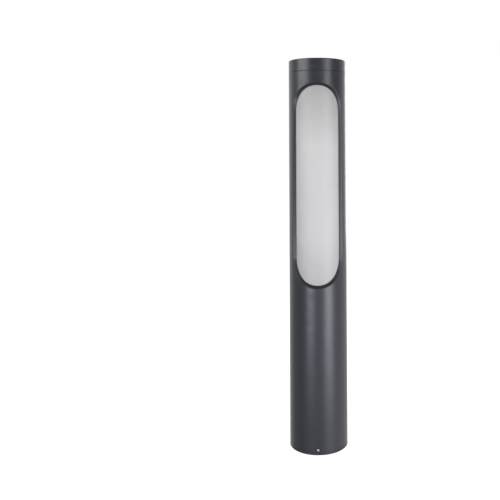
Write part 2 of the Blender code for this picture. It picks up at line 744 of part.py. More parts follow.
def make_heat_sink_bar():
    """Extruded bar with cooling grooves down both of its narrow sides."""
    grooves = 2
    depth = 0.004
    half_land = 0.0011
    pitch = (2 * BAR_HALF_Y - 2 * half_land) / grooves
    side = []
    for i in range(grooves):
        low = -BAR_HALF_Y + 2 * half_land + pitch * i
        high = low + pitch - 2 * half_land
        side += [(BAR_HALF_X, low), (BAR_HALF_X - depth, low), (BAR_HALF_X - depth, high), (BAR_HALF_X, high)]
    right = [(BAR_HALF_X, -BAR_HALF_Y), *side, (BAR_HALF_X, BAR_HALF_Y)]
    left = [(-x, -y) for x, y in right]
    bar = prism("heat_sink_bar", right + left, BAR_LOW, BAR_HIGH, ALUMINIUM)
    places = [(0, 0, z) for z in board_screw_heights()]
    cut(bar, drill("board_tap_drills", places, M3[0] + THREAD_GAP, 0.030, (0, 1, 0)))
    cut(bar, drill("bar_tap_drills", [(0, 0, BAR_SCREW_Z)], M3[0] + THREAD_GAP, 0.040, (1, 0, 0)))
    for side_x, word in ((-1, "left"), (1, "right")):
        place = (side_x * (BAR_HALF_X + BOSS_WALL + GAP), 0, BAR_SCREW_Z)
        screw(f"heat_sink_screw_{word}", M3, place, (side_x, 0, 0), BAR_SCREW_LENGTH)


def board_screw_heights():
    return (BOARD_LOW + 0.020, BOARD_HIGH - 0.007)


def make_led_board(word, side):
    """Board with a row of LEDs on its outer face, held by two screws. The side is -1 or 1, along Y."""
    inner = side * (BAR_HALF_Y + GAP)
    outer = inner + side * BOARD_THICK
    board = prism(
        f"led_board_{word}",
        rectangle(BOARD_HALF, min(inner, outer), max(inner, outer)),
        BOARD_LOW,
        BOARD_HIGH,
        BOARD_WHITE,
    )
    sunk = outer - side * BOARD_THICK / 2
    proud = outer + side * LED_THICK
    low, high = (BOARD_LOW + 0.033, BOARD_HIGH - 0.018)
    bm = bmesh.new()
    for i in range(LED_COUNT):
        z = low + (high - low) * i / (LED_COUNT - 1)
        outline = rectangle(LED_SIZE / 2, min(sunk, proud), max(sunk, proud))
        add_prism(bm, outline, z - LED_SIZE / 2, z + LED_SIZE / 2)
    unite(board, to_object(f"leds_{word}", bm))
    heights = board_screw_heights()
    places = [(0, outer, z) for z in heights]
    cut(board, drill(f"board_drills_{word}", places, M3[0] + THREAD_GAP, 0.010, (0, 1, 0)))
    for z, place_word in zip(heights, ("lower", "upper")):
        head = (0, outer + side * GAP, z)
        screw(f"led_board_{word}_screw_{place_word}", M3, head, (0, side, 0), BOARD_SCREW_LENGTH)


def make_tie_rods():
    """Long rods that hang from the cap behind the column's two uprights."""
    chamfer = 0.001
    profile = [
        (0, TIE_ROD_HIGH),
        (TIE_ROD_R, TIE_ROD_HIGH),
        (TIE_ROD_R, TIE_ROD_LOW + chamfer),
        (TIE_ROD_R - chamfer, TIE_ROD_LOW),
        (0, TIE_ROD_LOW),
    ]
    for side, word in ((-1, "left"), (1, "right")):
        at = Matrix.Translation((side * TIE_ROD_X, 0, 0))
        turned(f"tie_rod_{word}", profile, STAINLESS, SMALL_ROUND, at)


def make_engine_plug():
    """Plug under the bar that enters the bulkhead socket as the light engine goes down."""
    flange_low = SOCKET_HIGH + GAP
    flange_high = flange_low + ENGINE_PLUG_FLANGE_THICK
    profile = [
        (0, BAR_LOW - GAP),
        (ENGINE_PLUG_NECK_R, BAR_LOW - GAP),
        (ENGINE_PLUG_NECK_R, flange_high),
        (ENGINE_PLUG_FLANGE_R, flange_high),
        (ENGINE_PLUG_FLANGE_R, flange_low),
        (PLUG_R, flange_low),
        (PLUG_R, CUP_FLOOR_HIGH + THREAD_GAP),
        (0, CUP_FLOOR_HIGH + THREAD_GAP),
    ]
    turned("engine_plug", profile, BLACK_PLASTIC)
    board_face = BAR_HALF_Y + GAP + BOARD_THICK
    for side, word in ((-1, "front"), (1, "rear")):
        start = (0.005, side * (board_face + 0.0018), BOARD_LOW + 0.012)
        end = (0.005, side * 0.0098, flange_high + GAP + 0.0002)
        knots = [(start, (0, side * 0.0002, -0.004)), (end, (0, 0, -0.004))]
        cable(f"engine_lead_{word}", knots, 0.0013, CABLE_GREY)


# --- Set screws -----------------------------------------------------------------------------------


def make_set_screw(word, side):
    """Grub screw through the column's foot, with a hexagon socket. The side is -1 or 1, along Y."""
    chamfer, set_back, hexagon_depth = 0.0005, 0.0001, 0.0025
    profile = [
        (0, 0),
        (SET_SCREW_R - chamfer, 0),
        (SET_SCREW_R, -chamfer),
        (SET_SCREW_R, -SET_SCREW_LENGTH + chamfer),
        (SET_SCREW_R - chamfer, -SET_SCREW_LENGTH),
        (0, -SET_SCREW_LENGTH),
    ]
    place = (0, side * (OUTER_R - set_back), SET_SCREW_Z)
    outward = pointing((0, side, 0), place)
    body = turned(f"set_screw_{word}", profile, STAINLESS)
    socket = ring_points(SET_SCREW_HEX / 2 / math.cos(math.pi / 6), 6)
    hexagon = prism(f"set_screw_{word}_hexagon", socket, -hexagon_depth, hexagon_depth)
    for obj in (body, hexagon):
        obj.matrix_world = outward
    cut(body, hexagon)


def make_all():
    clear_scene()
    make_base_flange()
    make_gear_tray()
    make_tray_screws()
    make_led_driver()
    make_terminal_block()
    make_cable_clamp()
    make_earth_point()
    make_driver_leads()
    make_driver_plug()
    make_slip_ring()
    make_housing_tube()
    make_diffuser()
    make_bulkhead()
    make_retaining_ring()
    make_bulkhead_socket()
    make_tie_rod_nuts()
    make_top_cap()
    make_cap_gasket()
    make_heat_sink_bar()
    make_led_board("front", -1)
    make_led_board("rear", 1)
    make_tie_rods()
    make_engine_plug()
    make_set_screw("front", -1)
    make_set_screw("rear", 1)


make_all()
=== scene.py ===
"""The looks of the bollard light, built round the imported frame. Metres, +Z up, window towards -Y."""

import json
import math

import bmesh
import bpy
from mathutils import Matrix, Vector

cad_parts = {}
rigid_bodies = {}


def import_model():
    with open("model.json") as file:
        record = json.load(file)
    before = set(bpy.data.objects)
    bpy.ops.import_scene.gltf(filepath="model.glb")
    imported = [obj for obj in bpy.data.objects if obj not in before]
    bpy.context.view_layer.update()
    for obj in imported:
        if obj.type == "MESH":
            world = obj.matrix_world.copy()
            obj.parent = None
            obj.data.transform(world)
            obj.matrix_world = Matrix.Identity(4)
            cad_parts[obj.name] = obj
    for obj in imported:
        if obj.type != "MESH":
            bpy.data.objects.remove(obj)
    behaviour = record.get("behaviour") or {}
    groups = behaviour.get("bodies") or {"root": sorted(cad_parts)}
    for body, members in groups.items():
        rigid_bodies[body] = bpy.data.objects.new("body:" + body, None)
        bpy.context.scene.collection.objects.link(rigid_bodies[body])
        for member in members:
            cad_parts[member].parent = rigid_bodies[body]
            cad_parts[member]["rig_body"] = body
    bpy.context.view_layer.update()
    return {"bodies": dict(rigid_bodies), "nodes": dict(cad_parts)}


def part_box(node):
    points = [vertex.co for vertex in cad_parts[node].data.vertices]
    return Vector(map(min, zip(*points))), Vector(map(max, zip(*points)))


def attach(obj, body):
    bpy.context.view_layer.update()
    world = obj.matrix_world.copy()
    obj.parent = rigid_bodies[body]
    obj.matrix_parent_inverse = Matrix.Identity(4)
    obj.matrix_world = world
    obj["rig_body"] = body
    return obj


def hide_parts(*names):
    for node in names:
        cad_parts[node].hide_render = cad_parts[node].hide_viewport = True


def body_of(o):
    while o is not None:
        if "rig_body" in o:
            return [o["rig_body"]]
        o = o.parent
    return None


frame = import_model()

# Divisions round the column, between a window and the wall round it, and along a window's side
AROUND = 240
LOFT_LOOPS = 14
STRAIGHT_STEPS = 28

# Rounds and clearances
EDGE = 0.0005
FINE_EDGE = 0.00025
GAP = 0.0003

# Directions, and swaps of axes that take a prism's length to +Y or to +X
UP, FRONT, REAR, LEFT, RIGHT = (0, 0, 1), (0, -1, 0), (0, 1, 0), (-1, 0, 0), (1, 0, 0)
UPRIGHT = Matrix(((1, 0, 0, 0), (0, 0, 1, 0), (0, 1, 0, 0), (0, 0, 0, 1)))
SIDEWAYS = Matrix(((0, 0, 1, 0), (1, 0, 0, 0), (0, 1, 0, 0), (0, 0, 0, 1)))


# --- Frame ---


def span(node):
    """(low z, high z) of a CAD node."""
    low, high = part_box(node)
    return low.z, high.z


def centre(node):
    low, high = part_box(node)
    return (low + high) / 2


def at_depth(node, y):
    """Centre of a CAD node, moved along Y to a given place."""
    return centre(node).x, y, centre(node).z


def at_height(node, z):
    """Centre of a CAD node, moved along Z to a given place."""
    return centre(node).x, centre(node).y, z


def half_width(node):
    """Half of a CAD node's extent along X."""
    low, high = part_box(node)
    return (high.x - low.x) / 2


def radii(node):
    """(smallest, largest) distance of a CAD node's vertices from the column's axis."""
    distances = [math.hypot(v.co.x, v.co.y) for v in frame["nodes"][node].data.vertices]
    return min(distances), max(distances)


def window_span():
    """(low z, high z) of the front window on the outer face, from the column's own vertices."""
    foot, top = span("housing_tube")
    heights = [
        v.co.z
        for v in frame["nodes"]["housing_tube"].data.vertices
        if abs(v.co.x) < 0.001 and v.co.y < -OUTER_R + 0.0002
    ]
    inside = [z for z in heights if foot + 0.05 < z < top - 0.005]
    return min(inside), max(inside)


HEIGHT = span("top_cap")[1]
OUTER_R = radii("housing_tube")[1]
WALL = 0.005
INNER_R = OUTER_R - WALL
SPIGOT_R = INNER_R - 0.0006
WINDOW_LOW, WINDOW_HIGH = window_span()
WINDOW_END_R = 0.061
WINDOW_BEVEL = 0.0055
TIE_RODS = ("tie_rod_left", "tie_rod_right")
TRAY_SCREWS = ("tray_screw_left", "tray_screw_right")
CLAMP_SCREWS = ("cable_clamp_screw_left", "cable_clamp_screw_right")
BLOCK_SCREWS = ("terminal_block_screw_left", "terminal_block_screw_right")
FACE_SCREWS = ("driver_screw_upper", "driver_screw_lower", *BLOCK_SCREWS, *CLAMP_SCREWS, "earth_screw")


# --- Mesh helpers ---


def finished_mesh(name, bm):
    """Mesh made of a bmesh, which is used up."""
    mesh = bpy.data.meshes.new(name)
    bm.to_mesh(mesh)
    bm.free()
    return mesh


def new_object(name, data):
    """Object in the scene that shows some data, or is empty without any."""
    made = bpy.data.objects.new(name, data)
    bpy.context.scene.collection.objects.link(made)
    return made


def add_object(name, bm, material, node, sharp=35, slot=None):
    """Links a finished bmesh as a piece that rides with a CAD node.

    It stands for the node, which it hides, and carries the given material. Given a slot, it is a detail
    beside the node, and the node stays shown.
    """
    mesh = finished_mesh(name, bm)
    mesh.shade_smooth()
    mesh.set_sharp_from_angle(angle=math.radians(sharp))
    mesh.materials.append(material)
    piece = new_object(name, mesh)
    piece.modifiers.new("flat_faces_shade_flat", "WEIGHTED_NORMAL").keep_sharp = True
    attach(piece, body_of(frame["nodes"][node])[0])
    if not slot:
        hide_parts(node)


def arc(start, corner, end, steps):
    """Points of a rounded corner."""
    shares = [k / steps for k in range(steps + 1)]
    return [(1 - t) ** 2 * start + 2 * t * (1 - t) * corner + t * t * end for t in shares]


def rounded(outline, rounds, steps=4):
    """Closed outline with its corners rounded, all alike or one by one. A round of 0 keeps a corner sharp."""
    if not isinstance(rounds, (list, tuple)):
        rounds = [rounds] * len(outline)
    points = []
    for i, size in enumerate(rounds):
        here = Vector(outline[i])
        if not size:
            points.append(here)
            continue
        before = (Vector(outline[i - 1]) - here).normalized() * size
        after = (Vector(outline[(i + 1) % len(outline)]) - here).normalized() * size
        points += arc(here + before, here, here + after, steps)
    return points


def rectangle(left, right, low, high):
    return [(left, low), (right, low), (right, high), (left, high)]


def stretch(start, end, steps):
    """Evenly spaced points from one to another, without the last."""
    (a, b), (c, d) = start, end
    return [(a + (c - a) * k / steps, b + (d - b) * k / steps) for k in range(steps)]


def circle_arc(middle, radius, start, turn, steps):
    """Points along a circle about a middle, from an angle through a turn, with both ends."""
    angles = [start + turn * k / steps for k in range(steps + 1)]
    return [(middle[0] + radius * math.cos(a), middle[1] + radius * math.sin(a)) for a in angles]


def skin(bm, first, second, closed=True):
    """Quads between two rows of vertices, and from the last to the first if they are closed."""
    for i in range(len(first) if closed else len(first) - 1):
        j = (i + 1) % len(first)
        bm.faces.new((first[i], first[j], second[j], second[i]))


def revolve(rows, segments, matrix=Matrix()):
    """Closed surface round Z through rows of (r, z), or of a function of the angle that gives them.

    The rows run down the outer side, top to bottom. A row on the axis is one point.
    """
    bm = bmesh.new()
    turns = [2 * math.pi * i / segments for i in range(segments)]
    rings = []
    for row in rows:
        if not callable(row) and row[0] < 1e-7:
            rings.append([bm.verts.new((0, 0, row[1]))])
            continue
        ring = []
        for a in turns:
            r, z = row(a) if callable(row) else row
            ring.append(bm.verts.new((r * math.cos(a), r * math.sin(a), z)))
        rings.append(ring)
    pairs = list(zip(rings, rings[1:]))
    if len(rings[0]) > 1 and len(rings[-1]) > 1:
        pairs.append((rings[-1], rings[0]))
    for upper, lower in pairs:
        for i in range(segments):
            j = (i + 1) % segments
            places = ((upper, i), (lower, i), (lower, j), (upper, j))
            corners = list(dict.fromkeys(ring[k % len(ring)] for ring, k in places))
            if len(corners) > 2:
                bm.faces.new(corners)
    bmesh.ops.recalc_face_normals(bm, faces=bm.faces)
    bmesh.ops.transform(bm, matrix=matrix, verts=bm.verts)
    return bm


def tube(outer, inner, low, high, edge, segments=AROUND, matrix=Matrix()):
    """Straight tube round Z, with rounded edges."""
    profile = [(outer, high), (outer, low), (inner, low), (inner, high)]
    return revolve(rounded(profile, edge), segments, matrix)


def pointing(direction, place):
    """Matrix that turns local +Z to a direction and moves it to a place."""
    turn = Vector(UP).rotation_difference(Vector(direction)).to_matrix().to_4x4()
    return Matrix.Translation(place) @ turn


# --- Materials ---


class Tree:
    """Short names for building a node tree."""

    def __init__(self, tree):
        self.tree = tree

    def add(self, kind, inputs=None, **settings):
        node = self.tree.nodes.new(kind)
        for key, value in settings.items():
            setattr(node, key, value)
        for key, value in (inputs or {}).items():
            self.fill(node.inputs[key], value)
        return node

    def link(self, source, target):
        self.tree.links.new(source, target)

    def fill(self, target, value):
        """Links a socket to the target, or sets the target's number."""
        if hasattr(value, "is_linked"):
            self.link(value, target)
        else:
            target.default_value = value

    def ramp(self, source, low, high, from_low=0.3, from_high=0.7):
        """Maps a value to a number between two limits."""
        limits = {"From Min": from_low, "From Max": from_high, "To Min": low, "To Max": high}
        return self.add("ShaderNodeMapRange", {**limits, "Value": source}).outputs["Result"]

    def math(self, operation, first, second):
        return self.add("ShaderNodeMath", {0: first, 1: second}, operation=operation).outputs["Value"]

    def times(self, first, second):
        return self.math("MULTIPLY", first, second)

    def axes(self, place):
        """The X, Y and Z of a place."""
        split = self.add("ShaderNodeSeparateXYZ", {"Vector": place})
        return [split.outputs[name] for name in "XYZ"]


class Nodes(Tree):
    """A material's node tree, with its Principled shader and the pattern nodes that feed it."""

    def __init__(self, name):
        self.material = bpy.data.materials.new(name)
        self.material.use_nodes = True
        super().__init__(self.material.node_tree)
        self.shader = self.tree.nodes["Principled BSDF"]
        self.place = self.add("ShaderNodeTexCoord").outputs["Object"]

    def noise(self, scale, detail=2.0, stretch=(1, 1, 1)):
        """Noise output from 0 to 1, at a scale in waves per metre."""
        place = self.add("ShaderNodeMapping", {"Scale": stretch, "Vector": self.place}).outputs["Vector"]
        noise = self.add("ShaderNodeTexNoise", {"Scale": scale, "Detail": detail, "Vector": place})
        return noise.outputs["Fac"]

    def vary(self, scale, detail, low=0.0, high=1.0):
        """Number that wanders between two limits with the noise."""
        return self.ramp(self.noise(scale, detail), low, high)

    def mix(self, factor, first, second):
        """Colour mix. Each side is a colour or a socket."""
        node = self.add("ShaderNodeMix", data_type="RGBA")
        colours = [s for s in node.inputs if s.type == "RGBA"]
        self.fill(node.inputs["Factor"], factor)
        for socket, value in zip(colours, (first, second)):
            self.fill(socket, (*value, 1) if isinstance(value, tuple) else value)
        return next(s for s in node.outputs if s.type == "RGBA")

    def bump(self, height, distance, strength, under=None):
        node = self.add("ShaderNodeBump", {"Strength": strength, "Distance": distance, "Height": height})
        if under:
            self.link(under, node.inputs["Normal"])
        return node.outputs["Normal"]

    def set(self, **values):
        for key, value in values.items():
            self.fill(self.shader.inputs[key.replace("_", " ")], value)
        return self.material


def shade(colour, factor):
    return tuple(min(1.0, c * factor) for c in colour)


def powder_coat(base):
    """Fine-structure powder coat: satin, with a pebbled skin and slightly paler edges."""
    n = Nodes("powder_coat")
    speckle = n.vary(2600, 3)
    cloud = n.vary(26, 4)
    colour = n.mix(speckle, shade(base, 0.86), shade(base, 1.12))
    colour = n.mix(n.ramp(cloud, 0.0, 0.15, 0.0, 1.0), colour, shade(base, 1.25))
    edge = n.ramp(n.add("ShaderNodeNewGeometry").outputs["Pointiness"], 0.0, 0.35, 0.52, 0.60)
    colour = n.mix(edge, colour, shade(base, 2.0))
    pebble = n.bump(n.noise(1500, 2), 0.00008, 0.55)
    peel = n.bump(n.noise(260, 1), 0.00012, 0.35, pebble)
    rough = n.vary(90, 3, 0.30, 0.37)
    return n.set(Base_Color=colour, Roughness=rough, Normal=peel, Specular_IOR_Level=0.5)


def opal(white):
    """Satin opal polycarbonate that lets light bleed through.

    Painted shade: its colour is darkened towards both ends, where less light gets in, and where its surface
    is seen at a slant.
    """
    n = Nodes("opal_polycarbonate")
    height = n.axes(n.place)[2]
    # Painted shade: the colour darkens towards the window's top and bottom ends.
    upper = n.ramp(height, 0.66, 1.0, WINDOW_HIGH, WINDOW_HIGH - 0.13)
    lower = n.ramp(height, 0.80, 1.0, WINDOW_LOW, WINDOW_LOW + 0.10)
    mottle = n.vary(60, 3, 0.98, 1.0)
    # Painted shade: the colour darkens where the surface is seen at a slant.
    facing = n.add("ShaderNodeLayerWeight").outputs["Facing"]
    painted_slant_shade = n.ramp(n.times(facing, facing), 1.0, 0.2, 0.0, 1.0)
    # The painted shades and the random mottle scale the white.
    value = n.times(n.times(upper, lower), n.times(painted_slant_shade, mottle))
    colour = n.mix(value, (0.0, 0.0, 0.0), white)
    grain = n.bump(n.noise(3200, 2), 0.00002, 0.5)
    rough = n.vary(140, 2, 0.40, 0.48)
    n.set(Base_Color=colour, Roughness=rough, Normal=grain, Specular_IOR_Level=0.3, IOR=1.50)
    return n.set(Subsurface_Weight=0.6, Subsurface_Radius=(1.0, 0.96, 0.92), Subsurface_Scale=0.006)


def bare_metal(name, colour, rough, stretch, streak_scale=900):
    """Bare metal with drawn or turned streaks along the short axis of the stretch."""
    n = Nodes(name)
    streak = n.noise(streak_scale, 4, stretch)
    tint = n.mix(n.ramp(streak, 0.0, 1.0), shade(colour, 0.86), shade(colour, 1.06))
    stain = n.mix(n.vary(45, 4, 0.0, 0.30), tint, shade(colour, 0.72))
    roughness = n.ramp(streak, rough - 0.07, rough + 0.09)
    lines = n.bump(streak, 0.00002, 0.4)
    return n.set(Base_Color=stain, Metallic=1.0, Roughness=roughness, Normal=lines)


def zinc_plate(base):
    """Bright zinc plating with a faint crystalline mottle."""
    n = Nodes("zinc_plate")
    cells = n.add("ShaderNodeTexVoronoi", {"Scale": 220, "Vector": n.place})
    crystal = n.ramp(cells.outputs["Distance"], 0.0, 1.0, 0.0, 0.8)
    colour = n.mix(crystal, shade(base, 0.85), shade(base, 1.08))
    rough = n.vary(400, 3, 0.28, 0.44)
    skin = n.bump(n.noise(700, 3), 0.00002, 0.4)
    return n.set(Base_Color=colour, Metallic=1.0, Roughness=rough, Normal=skin)


def moulded(name, colour, rough, grain=1400):
    """Moulded plastic or rubber, with a spark-eroded grain."""
    n = Nodes(name)
    tint = n.mix(n.vary(70, 3), shade(colour, 0.92), shade(colour, 1.07))
    roughness = n.vary(300, 2, rough - 0.05, rough + 0.06)
    skin = n.bump(n.noise(grain, 2), 0.00003, 0.4)
    return n.set(Base_Color=tint, Roughness=roughness, Normal=skin)


def earth_sheath(green, yellow):
    """Green sheath with a yellow stripe that winds round it."""
    n = Nodes("earth_sheath")
    scale = {"Scale": 90, "Vector": n.place}
    wave = n.add("ShaderNodeTexWave", scale, wave_type="BANDS", bands_direction="DIAGONAL")
    colour = n.mix(n.ramp(wave.outputs["Fac"], 0.0, 1.0, 0.48, 0.52), green, yellow)
    skin = n.bump(n.noise(900, 2), 0.00003, 0.3)
    return n.set(Base_Color=colour, Roughness=n.vary(300, 2, 0.42, 0.55), Normal=skin)


COAT = powder_coat((0.0222, 0.0243, 0.0303))
OPAL = opal((0.548, 0.534, 0.526))
STAINLESS = bare_metal("stainless_steel", (0.62, 0.62, 0.64), 0.24, (1, 1, 8))
DRAWN = bare_metal("drawn_stainless", (0.60, 0.60, 0.62), 0.26, (1, 1, 0.04), 1400)
ALUMINIUM = bare_metal("extruded_aluminium", (0.74, 0.75, 0.77), 0.34, (6, 6, 0.15))
TURNED = bare_metal("turned_aluminium", (0.72, 0.73, 0.75), 0.32, (1, 1, 1), 300)
ZINC = zinc_plate((0.55, 0.57, 0.60))
ZINC_SHEET = bare_metal("zinc_sheet", (0.56, 0.58, 0.61), 0.36, (3, 3, 0.2), 500)
BRASS = bare_metal("brass", (0.72, 0.53, 0.24), 0.28, (1, 1, 1), 1200)
TINNED = bare_metal("tinned_copper", (0.66, 0.62, 0.55), 0.30, (1, 1, 1), 1500)
PHOSPHOR = moulded("phosphor", (0.83, 0.62, 0.12), 0.35, 5000)
SILICONE = moulded("silicone", (0.50, 0.50, 0.49), 0.55)
RUBBER = moulded("black_rubber", (0.018, 0.018, 0.018), 0.62)
WHITE_PLASTIC = moulded("white_plastic", (0.56, 0.56, 0.545), 0.42)
BLACK_PLASTIC = moulded("black_plastic", (0.024, 0.024, 0.026), 0.45)
NYLON = moulded("slip_nylon", (0.05, 0.05, 0.052), 0.5)
BOARD = moulded("white_solder_mask", (0.60, 0.61, 0.60), 0.30, 2500)
SHEATH = moulded("grey_sheath", (0.20, 0.20, 0.21), 0.5, 900)
EARTH = earth_sheath((0.08, 0.32, 0.07), (0.75, 0.62, 0.05))


# --- Column ---


def on_wall(angle, z, radius):
    """Point on the wall. Angle 0 is the front, and it grows towards +X."""
    return radius * math.sin(angle), -radius * math.cos(angle), z


def rectangle_loop(left, right, low, high, across, up):
    """(angle, z) points round a rectangle, from its lower left corner."""
    a, b, c, d = rectangle(left, right, low, high)
    return stretch(a, b, across) + stretch(b, c, up) + stretch(c, d, across) + stretch(d, a, up)


def slot_loop(inset, across, up):
    """(angle, z) points round the window's slot, inset from its outer edge on the unrolled wall."""
    end_r = WINDOW_END_R - inset
    half_turns = [
        circle_arc((0, WINDOW_LOW + WINDOW_END_R), end_r, math.pi, math.pi, across),
        circle_arc((0, WINDOW_HIGH - WINDOW_END_R), end_r, 0, math.pi, across),
    ]
    points = []
    for i, half_turn in enumerate(half_turns):
        points += half_turn[:-1] + stretch(half_turn[-1], half_turns[1 - i][0], up)
    return [(x / OUTER_R, z) for x, z in points]


def circle_loop(hole_r, wall_r, middle, across, up):
    """(angle, z) points round a straight drilled hole, where it meets a wall of some radius."""
    points = []
    for steps, start in ((across, -135), (up, -45), (across, 45), (up, 135)):
        points += circle_arc((0, middle), hole_r, math.radians(start), math.pi / 2, steps)[:-1]
    return [(math.asin(x / wall_r), z) for x, z in points]


def lofted(first, second, loops):
    """Loops between two others, without the two themselves."""
    between = []
    for t in [k / loops for k in range(1, loops)]:
        between.append([(a + (c - a) * t, b + (d - b) * t) for (a, b), (c, d) in zip(first, second)])
    return between


def wall_panel(bm, facing, sheet, lip, loops):
    """A piece of wall with a hole through it. The sheet is the loop round it on both faces.

    The lip is the list of (loop, radius) that leads from the outer face through the hole to the inner face.
    """
    rows = [(sheet, OUTER_R)]
    rows += [(loop, OUTER_R) for loop in lofted(sheet, lip[0][0], loops)]
    rows += lip
    rows += [(loop, INNER_R) for loop in lofted(lip[-1][0], sheet, loops)]
    rows.append((sheet, INNER_R))
    made = [[bm.verts.new(on_wall(facing + a, z, r)) for a, z in loop] for loop, r in rows]
    for outer, inner in zip(made, made[1:]):
        skin(bm, outer, inner)


def ring_rows(bm, rows, start=0, end=2 * math.pi):
    """Quads between rings of (r, z), over part of a turn, in steps that match the wall panels."""
    step = 2 * math.pi / AROUND
    count = round((end - start) / step)
    made = [[bm.verts.new(on_wall(start + i * step, z, r)) for i in range(count + 1)] for r, z in rows]
    for upper, lower in zip(made, made[1:]):
        skin(bm, lower, upper, closed=False)


def window_lip():
    """(inset, radius) over the outer edge's small round, down the bevel and round its thin inner edge."""
    slope = Vector((WINDOW_BEVEL, -WALL)).normalized()
    across = Vector((1, 0))
    outer_edge, inner_edge = Vector((0, OUTER_R)), Vector((WINDOW_BEVEL, INNER_R))
    section = arc(outer_edge - across * EDGE, outer_edge, outer_edge + slope * EDGE, 5)
    section += [outer_edge.lerp(inner_edge, t) for t in (0.3, 0.5, 0.7)]
    section += arc(inner_edge - slope * FINE_EDGE, inner_edge, inner_edge - across * FINE_EDGE, 4)
    return section


def rim(z, inward):
    """(r, z) points over the wall's end at a height, from its outer face to its inner face."""
    outer, inner = Vector((OUTER_R, z)), Vector((INNER_R, z))
    across, along = Vector((EDGE, 0)), Vector((0, inward))
    return arc(outer + along, outer, outer - across, 4) + arc(inner + across, inner, inner + along, 4)


def drilled_foot(bm, low, high):
    """The wall at the foot, with a drilled hole at the front and the rear for the set screws."""
    screw_z = centre("set_screw_front").z
    hole_r = half_width("set_screw_front") + 0.0004
    half_patch, sides, sink = 6, 8, 0.0004
    patch = 2 * math.pi / AROUND * half_patch
    sheet = rectangle_loop(-patch, patch, low, high, 2 * half_patch, sides)
    lip = []
    for spread, deep in ((sink, 0), (0.4 * sink, 0.4 * sink), (0, sink), (0, WALL / 2), (0, WALL)):
        wall_r = OUTER_R if spread else OUTER_R - deep
        loop = circle_loop(hole_r + spread, wall_r, screw_z, 2 * half_patch, sides)
        lip.append((loop, OUTER_R - deep))
    levels = [low + (high - low) * i / sides for i in range(sides + 1)]
    for facing in (0, math.pi):
        start, end = facing + patch, facing + math.pi - patch
        wall_panel(bm, facing, sheet, lip, 4)
        ring_rows(bm, [(OUTER_R, z) for z in reversed(levels)], start, end)
        ring_rows(bm, [(INNER_R, z) for z in levels], start, end)


def make_column():
    """Housing tube: two bevelled windows, a drilled foot, rounded ends and the clip's groove inside."""
    foot, top = span("housing_tube")
    margin = 0.011
    low, high = WINDOW_LOW - margin, WINDOW_HIGH + margin
    foot_high = centre("set_screw_front").z + 0.012
    half_turn = AROUND // 2
    bm = bmesh.new()
    lip = [(slot_loop(inset, half_turn, STRAIGHT_STEPS), r) for inset, r in window_lip()]
    sheet = rectangle_loop(-math.pi / 2, math.pi / 2, low, high, half_turn, STRAIGHT_STEPS)
    for facing in (0, math.pi):
        wall_panel(bm, facing, sheet, lip, LOFT_LOOPS)
    ring_rows(bm, [(INNER_R, high), *reversed(rim(top, -EDGE)), (OUTER_R, high)])
    drilled_foot(bm, foot + EDGE, foot_high)
    ring_rows(bm, rim(foot, EDGE))

    # The plain wall between the foot and the windows, with the groove inside.
    middle = (low + foot_high) / 2
    ring_rows(bm, [(OUTER_R, z) for z in (low, middle, foot_high)])
    groove_low, groove_high = span("retaining_ring")[0] - GAP, span("retaining_ring")[1] + GAP
    groove_r = radii("retaining_ring")[1] + GAP
    inside = [(INNER_R, foot_high), (INNER_R, middle), (INNER_R, groove_low), (groove_r, groove_low)]
    inside += [(groove_r, groove_high), (INNER_R, groove_high), (INNER_R, low)]
    ring_rows(bm, inside)
    bmesh.ops.remove_doubles(bm, verts=bm.verts, dist=2e-6)
    bmesh.ops.recalc_face_normals(bm, faces=bm.faces)
    add_object("column_housing", bm, COAT, "housing_tube")


def make_tubes():
    """The opal diffuser, the seals and the slip ring at the foot, each as wide as its CAD node."""
    for name, node, material, edge in (
        ("diffuser", "diffuser_tube", OPAL, 0.0004),
        ("cap_seal", "cap_gasket", RUBBER, 0.00015),
        ("foot_slip_ring", "slip_ring", NYLON, 0.00015),
        ("lower_diffuser_seal", "diffuser_gasket_lower", SILICONE, 0.0006),
        ("upper_diffuser_seal", "diffuser_gasket_upper", SILICONE, 0.0006),
    ):
        inner, outer = radii(node)
        add_object(name, tube(outer, inner, *span(node), edge), material, node)


# --- Solids ---


def absorb(bm, other):
    """Adds another bmesh to the first one, and frees the other."""
    mesh = finished_mesh("absorbed", other)
    bm.from_mesh(mesh)
    bpy.data.meshes.remove(mesh)


def soften(bm, width):
    """Rounds every edge that turns by more than 30 degrees."""
    edges = [e for e in bm.edges if len(e.link_faces) == 2 and e.calc_face_angle() > math.radians(30)]
    bmesh.ops.bevel(bm, geom=edges, offset=width, segments=3, affect="EDGES", profile=0.5)


def prism(outline, low, high, edge=0.0, matrix=Matrix()):
    """Extruded (x, y) outline with rounded edges."""
    bm = bmesh.new()
    base = [bm.verts.new((x, y, low)) for x, y in outline]
    top = [bm.verts.new((x, y, high)) for x, y in outline]
    bm.faces.new(list(reversed(base)))
    bm.faces.new(top)
    skin(bm, base, top)
    bmesh.ops.recalc_face_normals(bm, faces=bm.faces)
    if edge:
        soften(bm, edge)
    bmesh.ops.transform(bm, matrix=matrix, verts=bm.verts)
    if matrix.is_negative:
        bmesh.ops.reverse_faces(bm, faces=bm.faces)
    return bm


def box(low, high, edge=0.0, matrix=Matrix()):
    """Box between two corners, with rounded edges."""
    return prism(rectangle(low[0], high[0], low[1], high[1]), low[2], high[2], edge, matrix)


def boolean(body, tool, operation="DIFFERENCE"):
    """Cuts one closed bmesh by another, or joins them. Both are used up."""
    pair = [new_object("operand", finished_mesh("operand", bm)) for bm in (body, tool)]
    modifier = pair[0].modifiers.new("cut", "BOOLEAN")
    modifier.operation = operation
    modifier.solver = "EXACT"
    modifier.object = pair[1]
    evaluated = pair[0].evaluated_get(bpy.context.evaluated_depsgraph_get())
    result = bmesh.new()
    result.from_mesh(evaluated.to_mesh())
    evaluated.to_mesh_clear()
    for obj in pair:
        mesh = obj.data
        bpy.data.objects.remove(obj)
        bpy.data.meshes.remove(mesh)
    bmesh.ops.remove_doubles(result, verts=result.verts, dist=1e-7)
    return result


